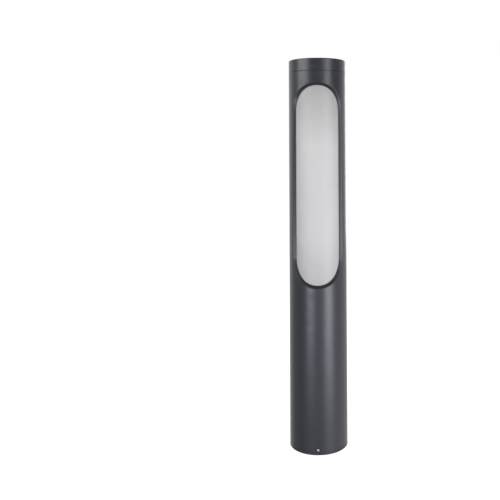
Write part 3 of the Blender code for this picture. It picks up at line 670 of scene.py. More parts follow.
def drills(places, radius, depth, direction=UP, flare=0.0, segments=40):
    """Round cutters centred on each place along a direction. A flare widens both ends."""
    half, mouth = depth / 2, radius + flare
    sides = [(radius, half), (radius, -half)]
    if flare:
        sides = [(mouth, half), (radius, half - flare), (radius, flare - half), (mouth, -half)]
    bm = bmesh.new()
    for place in places:
        absorb(bm, revolve([(0, half), *sides, (0, -half)], segments, pointing(direction, place)))
    return bm


def drilled(body, places, *hole, **details):
    """A body with round holes at some places, sized as for drills."""
    return boolean(body, drills(places, *hole, **details))


def hexagon_radius(half_flats, angle):
    return half_flats / math.cos(angle % (math.pi / 3) - math.pi / 6)


def square_radius(half, angle):
    return half / max(abs(math.cos(angle)), abs(math.sin(angle)))


def cross_radius(half_arm, reach, angle):
    """Edge of a cross recess."""
    off = abs((angle + math.pi / 4) % (math.pi / 2) - math.pi / 4)
    if math.tan(off) * reach <= half_arm:
        return reach / math.cos(off)
    return half_arm / math.sin(off)


def thread_rows(major, depth, pitch, high, low):
    """Rows of a helical thread, faded out at both ends."""
    per_turn = 6
    count = round((high - low) / pitch * per_turn)
    rows = []
    for k in range(count + 1):
        z = high + (low - high) * k / count
        fade = min(1.0, k / per_turn, (count - k) / per_turn)

        def row(angle, z=z, fade=fade):
            phase = (z / pitch - angle / (2 * math.pi)) % 1
            return major - depth * fade * abs(2 * phase - 1), z

        rows.append(row)
    return rows


def ridged(radius, z, count, depth):
    """Row whose radius dips by a depth, a number of times round."""
    return lambda angle: (radius - depth * (0.5 - 0.5 * math.cos(count * angle)), z)


# --- Fasteners ---


# Shank radius, head radius, head height and pitch of a screw
M3 = (0.0014, 0.0028, 0.0020, 0.0005)
M4 = (0.0019, 0.0036, 0.0026, 0.0007)

# Radius of the clearance holes for M3 screws
M3_HOLE = 0.0018


def screw_mesh(size, length, matrix):
    """Pan-head screw with a cross recess and a thread. Its head stands on z = 0 and its shank points down."""
    shank_r, head_r, head_high, pitch = size
    reach, half_arm = head_r * 0.62, head_r * 0.15

    def dome(r):
        return head_high * (1 - 0.30 * (r / head_r) ** 2)

    def recess(scale, drop):
        def row(angle):
            r = cross_radius(half_arm * scale, reach * scale, angle)
            return r, dome(r) - drop

        return row

    rows = [(0, head_high * 0.36), recess(0.45, head_high * 0.60), recess(0.94, head_high * 0.08)]
    rows.append(recess(1.0, 0))
    rows += [(head_r * k, dome(head_r * k)) for k in (0.72, 0.84, 0.92)]
    rows += [(head_r * 0.98, head_high * 0.60), (head_r, head_high * 0.46), (head_r, head_high * 0.10)]
    rows += [(head_r - FINE_EDGE / 2, 0), (shank_r * 1.02, 0)]
    rows += thread_rows(shank_r, shank_r * 0.2, pitch, -pitch * 0.3, -length + shank_r * 0.7)
    rows += [(shank_r * 0.5, -length), (0, -length)]
    return revolve(rows, 48, matrix)


def make_screws():
    """Every pan-head screw, each standing where its CAD node stands."""
    for size, direction, nodes in (
        (M4, UP, TRAY_SCREWS),
        (M3, FRONT, FACE_SCREWS),
        (M3, LEFT, ("heat_sink_screw_left",)),
        (M3, RIGHT, ("heat_sink_screw_right",)),
        (M3, FRONT, ("led_board_front_screw_upper", "led_board_front_screw_lower")),
        (M3, REAR, ("led_board_rear_screw_upper", "led_board_rear_screw_lower")),
    ):
        head_high, out = size[2], Vector(direction)
        for node in nodes:
            bottom, top = sorted(corner.dot(out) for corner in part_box(node))
            place = centre(node) + out * (top - head_high - centre(node).dot(out))
            bm = screw_mesh(size, top - bottom - head_high, pointing(direction, place))
            add_object(f"{node}_threaded", bm, ZINC, node)


def make_set_screws():
    """Grub screws with a hexagon socket and a cup point."""
    half_flats, deep, edge, pitch = 0.0015, 0.0026, 0.0005, 0.001
    for word, out in (("front", FRONT), ("rear", REAR)):
        node = f"set_screw_{word}"
        low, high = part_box(node)
        radius, length = half_width(node), high.y - low.y
        rows = [
            (0, -deep - 0.0006),
            lambda a: (hexagon_radius(half_flats, a) * 0.98, -deep),
            lambda a: (hexagon_radius(half_flats, a), -0.0002),
            lambda a: (hexagon_radius(half_flats, a) + 0.0002, 0),
            (radius - edge, 0),
        ]
        rows += thread_rows(radius, 0.0004, pitch, -edge, edge - length)
        rows += [(radius - edge, -length), (radius * 0.45, -length), (0, edge - length)]
        face = low.y if out is FRONT else high.y
        bm = revolve(rows, 48, pointing(out, at_depth(node, face)))
        add_object(f"grub_{word}", bm, STAINLESS, node)


def hexagon_nut(half, thick, bore):
    """Rows of a hexagon nut with both faces chamfered and a threaded bore. Its top is at z = 0."""
    edge, depth, pitch = 0.0004, 0.0003, 0.001
    flat_r, slope = half * 0.96, math.tan(math.radians(30))

    def corner(z, sign):
        def row(angle):
            r = hexagon_radius(half, angle)
            return r, z + sign * max(0.0, r - flat_r) * slope

        return row

    rows = [(bore + edge, 0), (flat_r, 0), corner(0, -1), corner(-thick, 1), (flat_r, -thick)]
    rows += [(bore + edge, -thick), (bore, edge - thick)]
    rows += reversed(thread_rows(bore + depth, depth, pitch, -edge * 1.5, edge * 1.5 - thick))
    return [*rows, (bore, -edge)]


def make_nuts():
    """The nuts, the plain washers that two of them bear on, and the toothed earth washer."""
    for node, bore in (("tie_rod_nut_left", 0.0031), ("tie_rod_nut_right", 0.0031), ("socket_nut", 0.0112)):
        low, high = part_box(node)
        rows = hexagon_nut((high.y - low.y) / 2, high.z - low.z, bore)
        bm = revolve(rows, 72, Matrix.Translation((centre(node).x, 0, high.z)))
        add_object(f"{node}_hexagon", bm, ZINC, node)
    for node in ("tie_rod_washer_left", "tie_rod_washer_right"):
        place = Matrix.Translation((centre(node).x, 0, 0))
        bm = tube(half_width(node), 0.0034, *span(node), GAP, 72, place)
        add_object(f"{node}_plain", bm, ZINC, node)
    node, bore, teeth, tooth = "earth_washer", 0.0019, 14, 0.0007
    low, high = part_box(node)
    thick, radius = high.y - low.y, half_width(node)
    rows = [(bore, 0), (radius * 0.82, 0), ridged(radius, -thick * 0.2, teeth, tooth)]
    rows += [ridged(radius, -thick * 0.8, teeth, tooth), (radius * 0.82, -thick), (bore, -thick)]
    bm = revolve(rows, 8 * teeth, pointing(FRONT, at_depth(node, low.y)))
    add_object("earth_washer_toothed", bm, ZINC, node)


# --- Base ---


def make_flange():
    """Floor flange: rounded rim, spigot, cable hole, four anchor holes and the tray's two screw holes."""
    top = span("base_flange")[1]
    rim_high = span("slip_ring")[0] - GAP
    spigot_in, floor_z, cable_r = INNER_R - 0.0046, 0.006, 0.015
    anchor_circle, anchor_r, flare = 0.040, 0.0045, 0.0008
    profile = [(cable_r, floor_z), (spigot_in, floor_z), (spigot_in, top), (SPIGOT_R, top)]
    profile += [(SPIGOT_R, rim_high), (OUTER_R, rim_high), (OUTER_R, 0), (cable_r, 0)]
    bm = revolve(rounded(profile, [0.0012, 0.0015, 0.0005, 0.0012, 0.0003, EDGE, EDGE, 0.0008]), AROUND)
    reach = anchor_circle * math.sqrt(0.5)
    anchors = [(sx * reach, sy * reach, floor_z / 2) for sx in (-1, 1) for sy in (-1, 1)]
    bm = drilled(bm, anchors, anchor_r, floor_z + flare, flare=flare)
    bm = drilled(bm, [at_height(node, floor_z) for node in TRAY_SCREWS], 0.0022, 0.0090)
    add_object("floor_flange", bm, COAT, "base_flange", sharp=28)


def make_tray():
    """Bent sheet tray with rounded bends."""
    low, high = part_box("gear_tray")
    sheet, flange_deep, neck_z, foot_half = 0.002, 0.010, 0.032, 0.019
    bend, inner_bend, edge = 0.0028, 0.0008, 0.0002
    half, front = high.x, low.y
    back, inside, flange_y = front + sheet, half - sheet, front + flange_deep
    outline = [(-half, front), (half, front), (half, flange_y), (inside, flange_y)]
    outline += [(inside, back), (-inside, back), (-inside, flange_y), (-half, flange_y)]
    bent = rounded(outline, [bend, bend, 0, 0, inner_bend, inner_bend, 0, 0], 5)
    tray = prism(bent, neck_z, high.z, edge)
    neck_high = neck_z + 2 * sheet
    foot = [(front, low.z), (high.y, low.z), (high.y, low.z + sheet), (back, low.z + sheet)]
    foot += [(back, neck_high), (front, neck_high)]
    bent = rounded(foot, [bend, 0, 0, inner_bend, 0, 0], 5)
    tray = boolean(tray, prism(bent, -foot_half, foot_half, edge, SIDEWAYS), "UNION")
    tray = drilled(tray, [at_height(node, low.z) for node in TRAY_SCREWS], 0.0023, 0.009)
    tray = drilled(tray, [at_depth(node, front) for node in FACE_SCREWS], M3_HOLE, 0.030, REAR)
    add_object("tray_sheet", tray, ZINC_SHEET, "gear_tray")


def make_driver():
    """Sealed driver case: chamfered body with a lid seam, an ear at each end, dimples and a blank plate."""
    low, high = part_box("led_driver")
    ear, chamfer, seam = 0.009, 0.002, 0.0004
    body_low, body_high = low.z + ear, high.z - ear
    half, front, back = high.x, low.y, high.y
    seam_y = back - 0.006
    right = [(half - chamfer, front), (half, front + chamfer), (half, seam_y - seam)]
    right += [(half - seam, seam_y - seam / 2), (half - seam, seam_y + seam / 2)]
    right += [(half, seam_y + seam), (half, back)]
    body = prism(right + [(-x, y) for x, y in reversed(right)], body_low, body_high, 0.0003)
    tab = rounded(rectangle(-half * 0.6, half * 0.6, low.z, high.z), 0.003, 5)
    body = boolean(body, prism(tab, back - 0.002, back, 0.0002, UPRIGHT), "UNION")
    body = drilled(body, [(0, back, z) for z in (low.z + ear / 2, high.z - ear / 2)], M3_HOLE, 0.012, REAR)
    inset = 0.012
    recess_low = (-half * 0.72, front - 0.001, body_low + inset)
    body = boolean(body, box(recess_low, (half * 0.72, front + 0.0006, body_high - inset)))
    for z in (body_low + inset / 2, body_high - inset / 2):
        for x in (-half * 0.8, 0, half * 0.8):
            body = drilled(body, [(x, front, z)], 0.0012, 0.0012, REAR, flare=0.0003, segments=24)
    add_object("driver_case", body, WHITE_PLASTIC, "led_driver")
    inset += EDGE
    outline = rounded(rectangle(-half * 0.7, half * 0.7, body_low + inset, body_high - inset), 0.002, 5)
    plate = prism(outline, front + 0.0002, front + 0.00055, 0.00008, UPRIGHT)
    add_object("driver_blank_plate", plate, ALUMINIUM, "led_driver", slot="bare_aluminium")


def make_terminals():
    """Five-way block: chamfered front, slots between the ways, and a slotted brass screw in each way."""
    low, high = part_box("terminal_block")
    pitch, ways, step = 0.0064, 5, 0.004
    slot, slot_deep, screw_deep = 0.0003, 0.0008, 0.0018
    screw_z = (low.z + high.z) / 2 + step
    xs = [pitch * (i - (ways - 1) / 2) for i in range(ways)]
    section = [(low.y, low.z + step), (low.y + step, low.z), (high.y, low.z), (high.y, high.z)]
    section += [(low.y + step, high.z), (low.y, high.z - step)]
    block = prism(section, low.x, high.x, 0.0004, SIDEWAYS)
    cutter = drills([(x, low.y + 2 * step, low.z) for x in xs], 0.0020, 0.010)
    absorb(cutter, drills([(x, low.y, screw_z) for x in xs], 0.0018, 0.008, REAR))
    for i in range(ways + 1):
        x = pitch * (i - ways / 2)
        corner = (x - slot, low.y - 0.001, low.z - 0.001)
        absorb(cutter, box(corner, (x + slot, low.y + slot_deep, high.z + 0.001)))
    block = boolean(block, cutter)
    block = drilled(block, [at_depth(node, low.y) for node in BLOCK_SCREWS], M3_HOLE, 0.040, REAR)
    head_y, bore_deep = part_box(BLOCK_SCREWS[0])[0].y + 0.0023, 0.020
    bores = [at_depth(node, head_y - bore_deep / 2) for node in BLOCK_SCREWS]
    block = drilled(block, bores, 0.0032, bore_deep, REAR)
    add_object("terminal_housing", block, WHITE_PLASTIC, "terminal_block")
    for i, x in enumerate(xs):
        head = revolve([(0, 0), (0.0014, 0), (0.0016, -0.0002), (0.0016, -0.0018), (0, -0.0018)], 40)
        head = boolean(head, box((-0.002, -slot, -0.0006), (0.002, slot, 0.001)))
        place = pointing(FRONT, (x, low.y + screw_deep, screw_z))
        bmesh.ops.transform(head, matrix=place, verts=head.verts)
        add_object(f"terminal_screw_{i + 1}", head, BRASS, "terminal_block", slot="zinc_steel")


def make_clamp():
    """Saddle clamp with a rounded arch."""
    low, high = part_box("cable_clamp")
    bore_r, thick, steps = 0.0062, 0.002, 28
    face, foot = high.y, high.x

    def arch(radius):
        return circle_arc((0, face - thick), radius, 0, -math.pi, steps)

    outline = [(foot, face), (foot, face - thick), *arch(bore_r + thick), (-foot, face - thick)]
    outline += [(-foot, face), (-bore_r, face), *reversed(arch(bore_r)), (bore_r, face)]
    clamp = prism(outline, low.z, high.z, GAP)
    clamp = drilled(clamp, [at_depth(node, face) for node in CLAMP_SCREWS], M3_HOLE, 0.012, REAR)
    add_object("clamp_saddle", clamp, BLACK_PLASTIC, "cable_clamp")


def lead(name, node, start, end, lean, radius, material=SHEATH):
    """Round lead that leaves its start and reaches its end along the lean."""
    curve = bpy.data.curves.new(name, "CURVE")
    curve.dimensions = "3D"
    curve.resolution_u = 24
    curve.bevel_depth = radius
    curve.bevel_resolution = 8
    curve.use_fill_caps = True
    spline = curve.splines.new("BEZIER")
    spline.bezier_points.add(1)
    for knot, place in zip(spline.bezier_points, (start, end)):
        knot.co = place
        knot.handle_left = Vector(place) - Vector(lean)
        knot.handle_right = Vector(place) + Vector(lean)
    path = bpy.data.objects.new(name, curve)
    bm = bmesh.new()
    mesh = bpy.data.meshes.new_from_object(path)
    bm.from_mesh(mesh)
    bpy.data.meshes.remove(mesh)
    bpy.data.objects.remove(path)
    bmesh.ops.remove_doubles(bm, verts=bm.verts, dist=1e-7)
    bmesh.ops.recalc_face_normals(bm, faces=bm.faces)
    add_object(name, bm, material, node)


def make_leads():
    """Each lead joins opposite ends of its CAD node's box, by its own radius inside."""
    for name, node, r, rise in (
        ("input_lead", "driver_input_lead", 0.0028, 0.007),
        ("output_lead", "driver_output_lead", 0.0030, 0.020),
    ):
        low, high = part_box(node)
        start, end = (high.x - r, high.y - r, low.z), (low.x + r, low.y + r, high.z)
        lead(name, node, start, end, (0, 0, rise), r)
    r = 0.0015
    low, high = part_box("earth_lead")
    start, end = (high.x - r, low.y + r, low.z), (low.x + r, high.y - r, high.z - 0.0006)
    lead("earth_wire", "earth_lead", start, end, (-0.0003, 0, 0.0035), r, EARTH)
    r = 0.0013
    for word in ("front", "rear"):
        node = f"engine_lead_{word}"
        low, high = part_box(node)
        outer, inner = low.y + r, high.y - r
        if word == "rear":
            outer, inner = inner, outer
        x = centre(node).x
        lead(f"engine_wire_{word}", node, (x, outer, high.z), (x, inner, low.z), (0, 0, -0.004), r)


def contact_places(z):
    """Four places on a ring about the axis."""
    ring = 0.0038
    return [(ring, 0, z), (0, ring, z), (-ring, 0, z), (0, -ring, z)]


def contacts(name, node, z, height):
    """Four brass contacts, which ride with a connector."""
    radius = 0.0006
    rows = [(0, height), (radius * 0.7, height), (radius, height * 0.6), (radius, 0), (0, 0)]
    bm = bmesh.new()
    for place in contact_places(z):
        absorb(bm, revolve(rows, 24, Matrix.Translation(place)))
    add_object(name, bm, BRASS, node, slot="zinc_steel")


def make_plug(name, node, rows, face, contact_z):
    """Round connector with four holes in a face, and the brass contacts inside them."""
    bm = drilled(revolve(rows, 120), contact_places(face), 0.0009, 0.005, segments=24)
    add_object(f"{name}_connector", bm, BLACK_PLASTIC, node)
    contacts(f"{name}_contacts", node, contact_z, 0.0022)


def make_driver_plug():
    """Plug with a barrel that enters the socket from below, a ribbed grip and a tapered tail."""
    low, high = span("driver_plug")
    shoulder = span("bulkhead_socket")[0] - 0.0004
    barrel_r, grip_r = 0.0070, 0.0095
    rows = [(0, high), (barrel_r - 0.0004, high), (barrel_r, high - 0.0004), (barrel_r, shoulder)]
    rows += [(grip_r - 0.0005, shoulder), (grip_r, shoulder - 0.0005), (grip_r, shoulder - 0.003)]
    rows += [ridged(grip_r, z, 20, 0.0005) for z in (shoulder - 0.004, low + 0.0075)]
    rows += [(grip_r, low + 0.0065), (0.0080, low + 0.0030), (0.0055, low), (0, low)]
    make_plug("driver", "driver_plug", rows, high, high - 0.0024)


def make_engine_plug():
    """Plug with a ribbed flange above the socket and a barrel that enters it from above."""
    low, high = span("engine_plug")
    flange_low = span("bulkhead_socket")[1] + GAP
    flange_high = flange_low + 0.004
    back_r, flange_r, barrel_r, chamfer = 0.0065, 0.0125, 0.0070, 0.0008
    rows = [(0, high), (back_r - GAP, high), (back_r, high - GAP), (back_r, flange_high)]
    rows += [(flange_r - 0.001, flange_high), ridged(flange_r, flange_high - chamfer, 24, 0.0005)]
    rows += [ridged(flange_r, flange_low + chamfer, 24, 0.0005), (flange_r - 0.001, flange_low)]
    rows += [(barrel_r, flange_low), (barrel_r, low + 0.0004), (barrel_r - 0.0004, low), (0, low)]
    make_plug("engine", "engine_plug", rows, low, low + 0.0002)


def make_socket():
    """Socket through the bulkhead, with a cup at each end and four contact pads in each cup."""
    low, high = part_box("bulkhead_socket")
    flange_low = span("bulkhead_plate")[1] + GAP
    flange_high = flange_low + 0.0025
    pad_high, gap = 0.0002, 0.0004
    cup_low, cup_high = span("driver_plug")[1] + gap, span("engine_plug")[0] - gap
    cup_r, barrel_r, flange_r = 0.0074, 0.011, high.x
    profile = [(0, cup_high), (cup_r, cup_high), (cup_r, high.z), (barrel_r, high.z), (barrel_r, flange_high)]
    profile += [(flange_r, flange_high), (flange_r, flange_low), (barrel_r, flange_low), (barrel_r, low.z)]
    profile += [(cup_r, low.z), (cup_r, cup_low), (0, cup_low)]
    rounds = [0, 0.0003, 0.0006, 0.0005, 0.0003, 0.0006, 0.0003, 0, 0.0005, 0.0006, 0.0003, 0]
    add_object("socket_body", revolve(rounded(profile, rounds), 120), BLACK_PLASTIC, "bulkhead_socket")
    contacts("socket_contacts_upper", "bulkhead_socket", cup_high, pad_high)
    contacts("socket_contacts_lower", "bulkhead_socket", cup_low - pad_high, pad_high)


# --- Column's inner parts ---


def make_bulkhead():
    low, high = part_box("bulkhead_plate")
    bm = tube(high.x, 0.0113, low.z, high.z, EDGE)
    rods = [(centre(node).x, 0, (low.z + high.z) / 2) for node in TIE_RODS]
    flare = 0.0006
    bm = drilled(bm, rods, 0.0034, high.z - low.z + flare, flare=flare)
    add_object("bulkhead_disc", bm, TURNED, "bulkhead_plate")


def make_clip():
    """Internal spring clip, open at the front, with a holed eye at each end."""
    low, high = span("retaining_ring")
    outer, inner, eye_ring, eye_r = radii("retaining_ring")[1], 0.0520, 0.0515, 0.0035
    half_gap, eye_turn = math.radians(9), math.radians(4)
    start, sweep, steps = -math.pi / 2 + half_gap, 2 * (math.pi - half_gap), 200
    outline = circle_arc((0, 0), outer, start, sweep, steps)
    outline += reversed(circle_arc((0, 0), inner, start, sweep, steps))
    clip = prism(outline, low, high, GAP)
    profile = rounded([(0, high), (eye_r, high), (eye_r, low), (0, low)], [0, GAP, GAP, 0])
    eyes = []
    for a in (start + eye_turn, start + sweep - eye_turn):
        x, y = eye_ring * math.cos(a), eye_ring * math.sin(a)
        eyes.append((x, y, (low + high) / 2))
        clip = boolean(clip, revolve(profile, 48, Matrix.Translation((x, y, 0))), "UNION")
    clip = drilled(clip, eyes, 0.0012, 0.010, segments=32)
    add_object("spring_clip", clip, STAINLESS, "retaining_ring")


# --- Light engine ---


def make_cap():
    """Top cap: softened edge, gasket groove, spigot, tie rod bosses and the bar's socket."""
    bottom, top = span("top_cap")
    cap_high, edge_r, steps = 0.025, 0.002, 10
    seam_z, roof_z, spigot_low = round(top - cap_high, 6), top - 0.008, bottom + 0.007
    spigot_in, groove_r, groove_z = 0.0505, 0.0573, seam_z + 0.0012
    profile = [(0, top), (0.030, top)]
    profile += circle_arc((OUTER_R - edge_r, top - edge_r), edge_r, math.pi / 2, -math.pi / 2, steps)
    smooth = [0] * len(profile)
    profile += [(OUTER_R, seam_z), (groove_r, seam_z), (groove_r, groove_z), (SPIGOT_R, groove_z)]
    profile += [(SPIGOT_R, spigot_low), (spigot_in, spigot_low), (spigot_in, roof_z), (0, roof_z)]
    bm = revolve(rounded(profile, smooth + [FINE_EDGE, 0.0002, 0, 0.0003, 0.0008, 0.0003, 0.0015, 0]), AROUND)

    rods = [(centre(node).x, 0, spigot_low) for node in TIE_RODS]
    boss_r, boss_low, boss_high, chamfer = 0.0072, spigot_low + 0.004, roof_z + 0.003, 0.0006
    rows = [(0, boss_high), (boss_r, boss_high), (boss_r, boss_low + chamfer)]
    rows += [(boss_r - chamfer, boss_low), (0, boss_low)]
    bosses = bmesh.new()
    for x, _, _ in rods:
        absorb(bosses, revolve(rows, 64, Matrix.Translation((x, 0, 0))))
    bar_low, bar_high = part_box("heat_sink_bar")
    wall = Vector((0.005, 0.005, 0))
    low, high = bar_low - wall, bar_high + wall
    absorb(bosses, box((low.x, low.y, bottom), (high.x, high.y, boss_high), EDGE))
    bm = boolean(bm, bosses, "UNION")

    fit = Vector((GAP, GAP, GAP))
    low, high = bar_low - fit, bar_high + fit
    cutter = box((low.x, low.y, bottom - 0.010), high)
    absorb(cutter, drills(rods, 0.0031, 2 * (span("tie_rod_left")[1] + GAP - spigot_low)))
    bm = boolean(bm, cutter)
    bm = drilled(bm, [(0, 0, centre("heat_sink_screw_left").z)], M3_HOLE, 0.060, RIGHT)
    add_object("cap_turned", bm, COAT, "top_cap", sharp=28)


def make_bar():
    """Extruded bar with two cooling grooves down each narrow side."""
    low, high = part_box("heat_sink_bar")
    depth, half_land, grooves = 0.004, 0.0011, 2
    pitch = (high.y - low.y - 2 * half_land) / grooves
    right = [(high.x, low.y)]
    for i in range(grooves):
        start = low.y + 2 * half_land + pitch * i
        end = start + pitch - 2 * half_land
        right += [(high.x, start), (high.x - depth, start), (high.x - depth, end), (high.x, end)]
    right.append((high.x, high.y))
    bar = prism(right + [(-x, -y) for x, y in right], low.z, high.z, 0.0002)
    heights = [centre(f"led_board_front_screw_{word}").z for word in ("lower", "upper")]
    bar = drilled(bar, [(0, 0, z) for z in heights], M3_HOLE, 0.030, REAR)
    bar = drilled(bar, [(0, 0, centre("heat_sink_screw_left").z)], M3_HOLE, 0.040, RIGHT)
    add_object("finned_bar", bar, ALUMINIUM, "heat_sink_bar")


LED_HIGH = 0.0009
LED_COUNT = 16


def led_height(node, i):
    """Height of an LED on its board, or of a place between two for a number between theirs."""
    first, last = span(node)[0] + 0.033, span(node)[1] - 0.018
    return first + (last - first) * i / (LED_COUNT - 1)


def make_board(word, node, flat, face):
    low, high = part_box(node)
    thick = 0.0016
    corners = rounded(rectangle(low.x, high.x, low.z, high.z), 0.0015, 5)
    board = prism(corners, -thick, 0, 0.0001, flat)
    holes = [(0, face, centre(f"{node}_screw_{end}").z) for end in ("lower", "upper")]
    add_object(f"board_{word}", drilled(board, holes, M3_HOLE, 0.010, REAR), BOARD, node)


def make_leds(word, node, flat):
    """Square packages with a phosphor disc, their pads, and a conductor down each side."""
    half, disc_r, edge, seat = 0.0025, 0.0019, 0.0002, 0.00003
    shell = [
        (disc_r, LED_HIGH - FINE_EDGE),
        (disc_r + edge, LED_HIGH),
        lambda a: (square_radius(half - edge, a), LED_HIGH),
        lambda a: (square_radius(half, a), LED_HIGH - edge),
        lambda a: (square_radius(half, a), seat),
        (disc_r, seat),
    ]
    disc = [(0, LED_HIGH - edge), (disc_r * 0.8, LED_HIGH - 0.00024), (disc_r, LED_HIGH - 0.0003)]
    disc += [(disc_r, edge), (0, edge)]
    packages, discs, copper = bmesh.new(), bmesh.new(), bmesh.new()
    for i in range(LED_COUNT):
        at = flat @ Matrix.Translation((0, led_height(node, i), 0))
        absorb(packages, revolve(shell, 64, at))
        absorb(discs, revolve(disc, 48, at))
        for x in (-0.0032, 0.0032):
            absorb(copper, box((x - 0.0010, -0.0011, 0), (x + 0.0010, 0.0011, 0.0001), 0.00004, at))
    low, high = led_height(node, 0) - 0.004, led_height(node, LED_COUNT - 1) + 0.004
    for x in (-0.0076, 0.0076):
        absorb(copper, box((x - 0.0004, low, 0), (x + 0.0004, high, 0.00005), 0.00002, flat))
    for name, bm, material in (
        ("led_packages", packages, WHITE_PLASTIC),
        ("led_phosphor", discs, PHOSPHOR),
        ("conductors", copper, TINNED),
    ):
        add_object(f"{name}_{word}", bm, material, node, slot="led_board")


def make_chips(word, node, flat):
    """Chip resistors in pairs, between LEDs."""
    chips = bmesh.new()
    for i in (3.5, 7.5, 11.5):
        z = led_height(node, i)
        for x in (-0.0052, 0.0052):
            absorb(chips, box((x - 0.0008, z - 0.0016, 0), (x + 0.0008, z + 0.0016, 0.0006), 0.00008, flat))
    add_object(f"chip_resistors_{word}", chips, BLACK_PLASTIC, node, slot="black_plastic")


def make_header(word, node, flat, side):
    """White connector at the upper end of the board's lead."""
    wire = f"engine_lead_{word}"
    x, z = -side * centre(wire).x, span(wire)[1]
    header = box((x - 0.0018, z + 0.0001, 0), (x + 0.0024, z + 0.0070, 0.0034), GAP, flat)
    add_object(f"wire_header_{word}", header, WHITE_PLASTIC, node, slot="white_plastic")


def make_boards():
    """Both LED boards. Local X runs across a board, local Y up it and local Z out of its face."""
    for word, side in (("front", -1), ("rear", 1)):
        node = f"led_board_{word}"
        low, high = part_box(node)
        face = low.y + LED_HIGH if side < 0 else high.y - LED_HIGH
        flat = Matrix(((-side, 0, 0, 0), (0, 0, side, face), (0, 1, 0, 0), (0, 0, 0, 1)))
        make_board(word, node, flat, face)
        make_leds(word, node, flat)
        make_chips(word, node, flat)
        make_header(word, node, flat, side)


def make_rods():
    """Tie rods with a thread at both ends."""
    edge, depth, pitch = 0.001, 0.0005, 0.001
    for node in TIE_RODS:
        low, high = span(node)
        radius = half_width(node)
        upper, lower = high - 0.020, low + 0.024
        rows = [(0, high), (radius - edge / 2, high)]
        rows += thread_rows(radius, depth, pitch, high - edge / 2, upper)
        rows += [(radius, z) for z in (upper - 0.001, (upper + lower) / 2, lower + 0.001)]
        rows += thread_rows(radius, depth, pitch, lower, low + edge)
        rows += [(radius - edge, low), (0, low)]
        bm = revolve(rows, 40, Matrix.Translation((centre(node).x, 0, 0)))
        add_object(f"{node}_threaded", bm, DRAWN, node)


# --- Studio ---


# Camera: its place at rest, turns, focal length, and the lens shifts that set the object in the frame
CAMERA_PLACE = (0.025, -1.40, 0.615)
PITCH, ROLL = math.radians(1.2), math.radians(-0.3)
LENS = 47.64
SHIFTS = (("shift_x", -0.1585), ("shift_y", -0.2305))

# Strengths of the world's parts and of the floor, and the tint of the low softboxes
FLOOR_GLOW = 0.93
FRONT_DIM, FRONT_LOW = 0.06, 1.6
RIGHT_LOW, LEFT_LOW, BACK_LOW, BACK_HIGH = 0.9, 0.45, 0.8, 1.0
COOL = (0.90, 0.97, 1.14)


def drive(owner, field, expression, variables):
    """Drives a field, or a (field, index), by an expression of (name, object, axis or path) variables."""
    curve = owner.driver_add(*field) if isinstance(field, tuple) else owner.driver_add(field)
    for name, target, source in variables:
        variable = curve.driver.variables.new()
        variable.name = name
        if source.startswith("LOC_"):
            variable.type = "TRANSFORMS"
            variable.targets[0].transform_type = source
        variable.targets[0].id = target
        if not source.startswith("LOC_"):
            variable.targets[0].data_path = source
    curve.driver.expression = expression


def make_camera():
    """Camera at the viewing height. A lens shift places the object in the frame.

    The camera rides a rig that backs off along its line to the object's foot as the light engine rises, so
    that a lifted pose still fills the same frame. The shift holds only while the camera is at its own place.
    """
    rig = new_object("camera_rig", None)
    lift = [("lift", frame["bodies"]["light_engine"], "LOC_Z")]
    for index, place in enumerate(CAMERA_PLACE):
        drive(rig, ("location", index), f"{place / HEIGHT:.6f} * lift", lift)
    data = bpy.data.cameras.new("camera")
    data.lens = LENS
    data.clip_start = 0.05
    data.clip_end = 60
    camera = new_object("camera", data)
    camera.parent = rig
    camera.location = CAMERA_PLACE
    turn = Matrix.Rotation(math.pi / 2 + PITCH, 3, "X") @ Matrix.Rotation(ROLL, 3, "Z")
    camera.rotation_euler = turn.to_euler()
    bpy.context.scene.camera = camera
    moved = " + ".join(f"abs({axis} - {value})" for axis, value in zip("xyz", CAMERA_PLACE))
    place = [(axis, camera, f"location[{i}]") for i, axis in enumerate("xyz")]
    for field, shift in SHIFTS:
        drive(data, field, f"{shift} if {moved} < 0.001 else 0", place)


def softbox(name, azimuth, distance, low, high, width, power, tint=(1, 1, 1)):
    """Upright softbox that faces the column's axis. Azimuth 0 is the camera's side, and grows towards +X."""
    data = bpy.data.lights.new(name, "AREA")
    data.shape = "RECTANGLE"
    data.size, data.size_y = width, high - low
    data.energy = power
    data.color = tint
    light = new_object(name, data)
    turn = math.radians(azimuth)
    light.location = (distance * math.sin(turn), -distance * math.cos(turn), (low + high) / 2)
    light.rotation_euler = (math.pi / 2, 0, turn)
    light.visible_camera = False


def make_floor():
    """Pale floor, just under the object. To the camera it glows almost white, with a soft contact shadow."""
    bm = bmesh.new()
    bmesh.ops.create_grid(bm, x_segments=8, y_segments=8, size=12)
    mesh = finished_mesh("floor", bm)
    n = Nodes("pale_floor")
    n.set(Base_Color=(0.35, 0.35, 0.35, 1), Roughness=0.9, Specular_IOR_Level=0.0)
    n.set(Emission_Color=(1, 1, 1, 1), Emission_Strength=FLOOR_GLOW)
    mesh.materials.append(n.material)
    floor = new_object("floor", mesh)
    floor.location.z = -0.0002
    floor.visible_glossy = False
    floor.visible_diffuse = False
    floor.visible_shadow = False


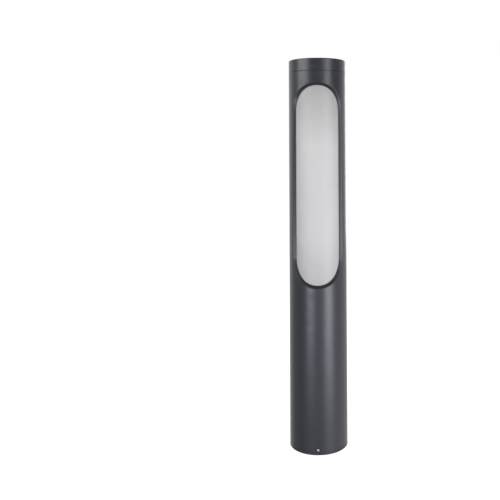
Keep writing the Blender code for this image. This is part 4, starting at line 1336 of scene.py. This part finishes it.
def make_world():
    """White to the camera. For light and reflections: pale behind, low at the sides and in a low band
    in front, dim elsewhere.
    """
    world = bpy.data.worlds.new("studio")
    bpy.context.scene.world = world
    world.use_nodes = True
    n = Tree(world.node_tree)
    x, y, z = n.axes(n.add("ShaderNodeTexCoord").outputs["Generated"])
    low = n.ramp(z, 0.0, 1.0, 0.02, -0.22)
    behind = n.ramp(y, 0.0, 1.0, 0.1, 0.7)
    far_behind = n.ramp(y, 0.0, 1.0, 0.0, 0.55)
    sides = n.math("ADD", n.ramp(x, 0.0, RIGHT_LOW, 0.3, 0.85), n.ramp(x, 0.0, LEFT_LOW, -0.6, -0.95))
    lower = n.times(low, n.math("MAXIMUM", sides, n.times(behind, BACK_LOW)))
    upper = n.times(n.math("SUBTRACT", 1.0, low), n.times(far_behind, BACK_HIGH))
    band = n.times(n.ramp(z, 0.0, 1.0, -0.02, -0.20), n.ramp(z, 0.1, 1.0, -0.42, -0.26))
    front = n.times(band, n.ramp(y, FRONT_LOW, 0.0, -0.85, -0.40))
    glow = n.math("ADD", n.math("ADD", FRONT_DIM, front), n.math("ADD", lower, upper))
    ray = n.add("ShaderNodeLightPath").outputs["Is Camera Ray"]
    seen = n.math("ADD", ray, n.times(n.math("SUBTRACT", 1.0, ray), glow))
    background = world.node_tree.nodes["Background"]
    background.inputs["Color"].default_value = (1, 1, 1, 1)
    n.link(seen, background.inputs["Strength"])
    bpy.context.scene.view_settings.view_transform = "Standard"


def make_studio():
    make_camera()
    make_floor()
    make_world()
    softbox("softbox_right", 42, 1.5, -0.15, 1.6, 0.56, 14)
    softbox("softbox_right_low", 43, 1.4, -0.35, 0.30, 0.90, 6, COOL)
    softbox("softbox_left_high", -59, 1.3, 0.75, 1.7, 1.05, 16)
    softbox("softbox_left_low", -29, 1.3, -0.12, 0.24, 0.60, 3.8, COOL)
    softbox("softbox_rear", 165, 1.6, 0.2, 1.6, 0.90, 10)


make_column()
make_tubes()
make_bulkhead()
make_clip()
make_nuts()
make_driver_plug()
make_engine_plug()
make_socket()
make_flange()
make_tray()
make_driver()
make_terminals()
make_clamp()
make_leads()
make_screws()
make_set_screws()
make_cap()
make_bar()
make_boards()
make_rods()
make_studio()
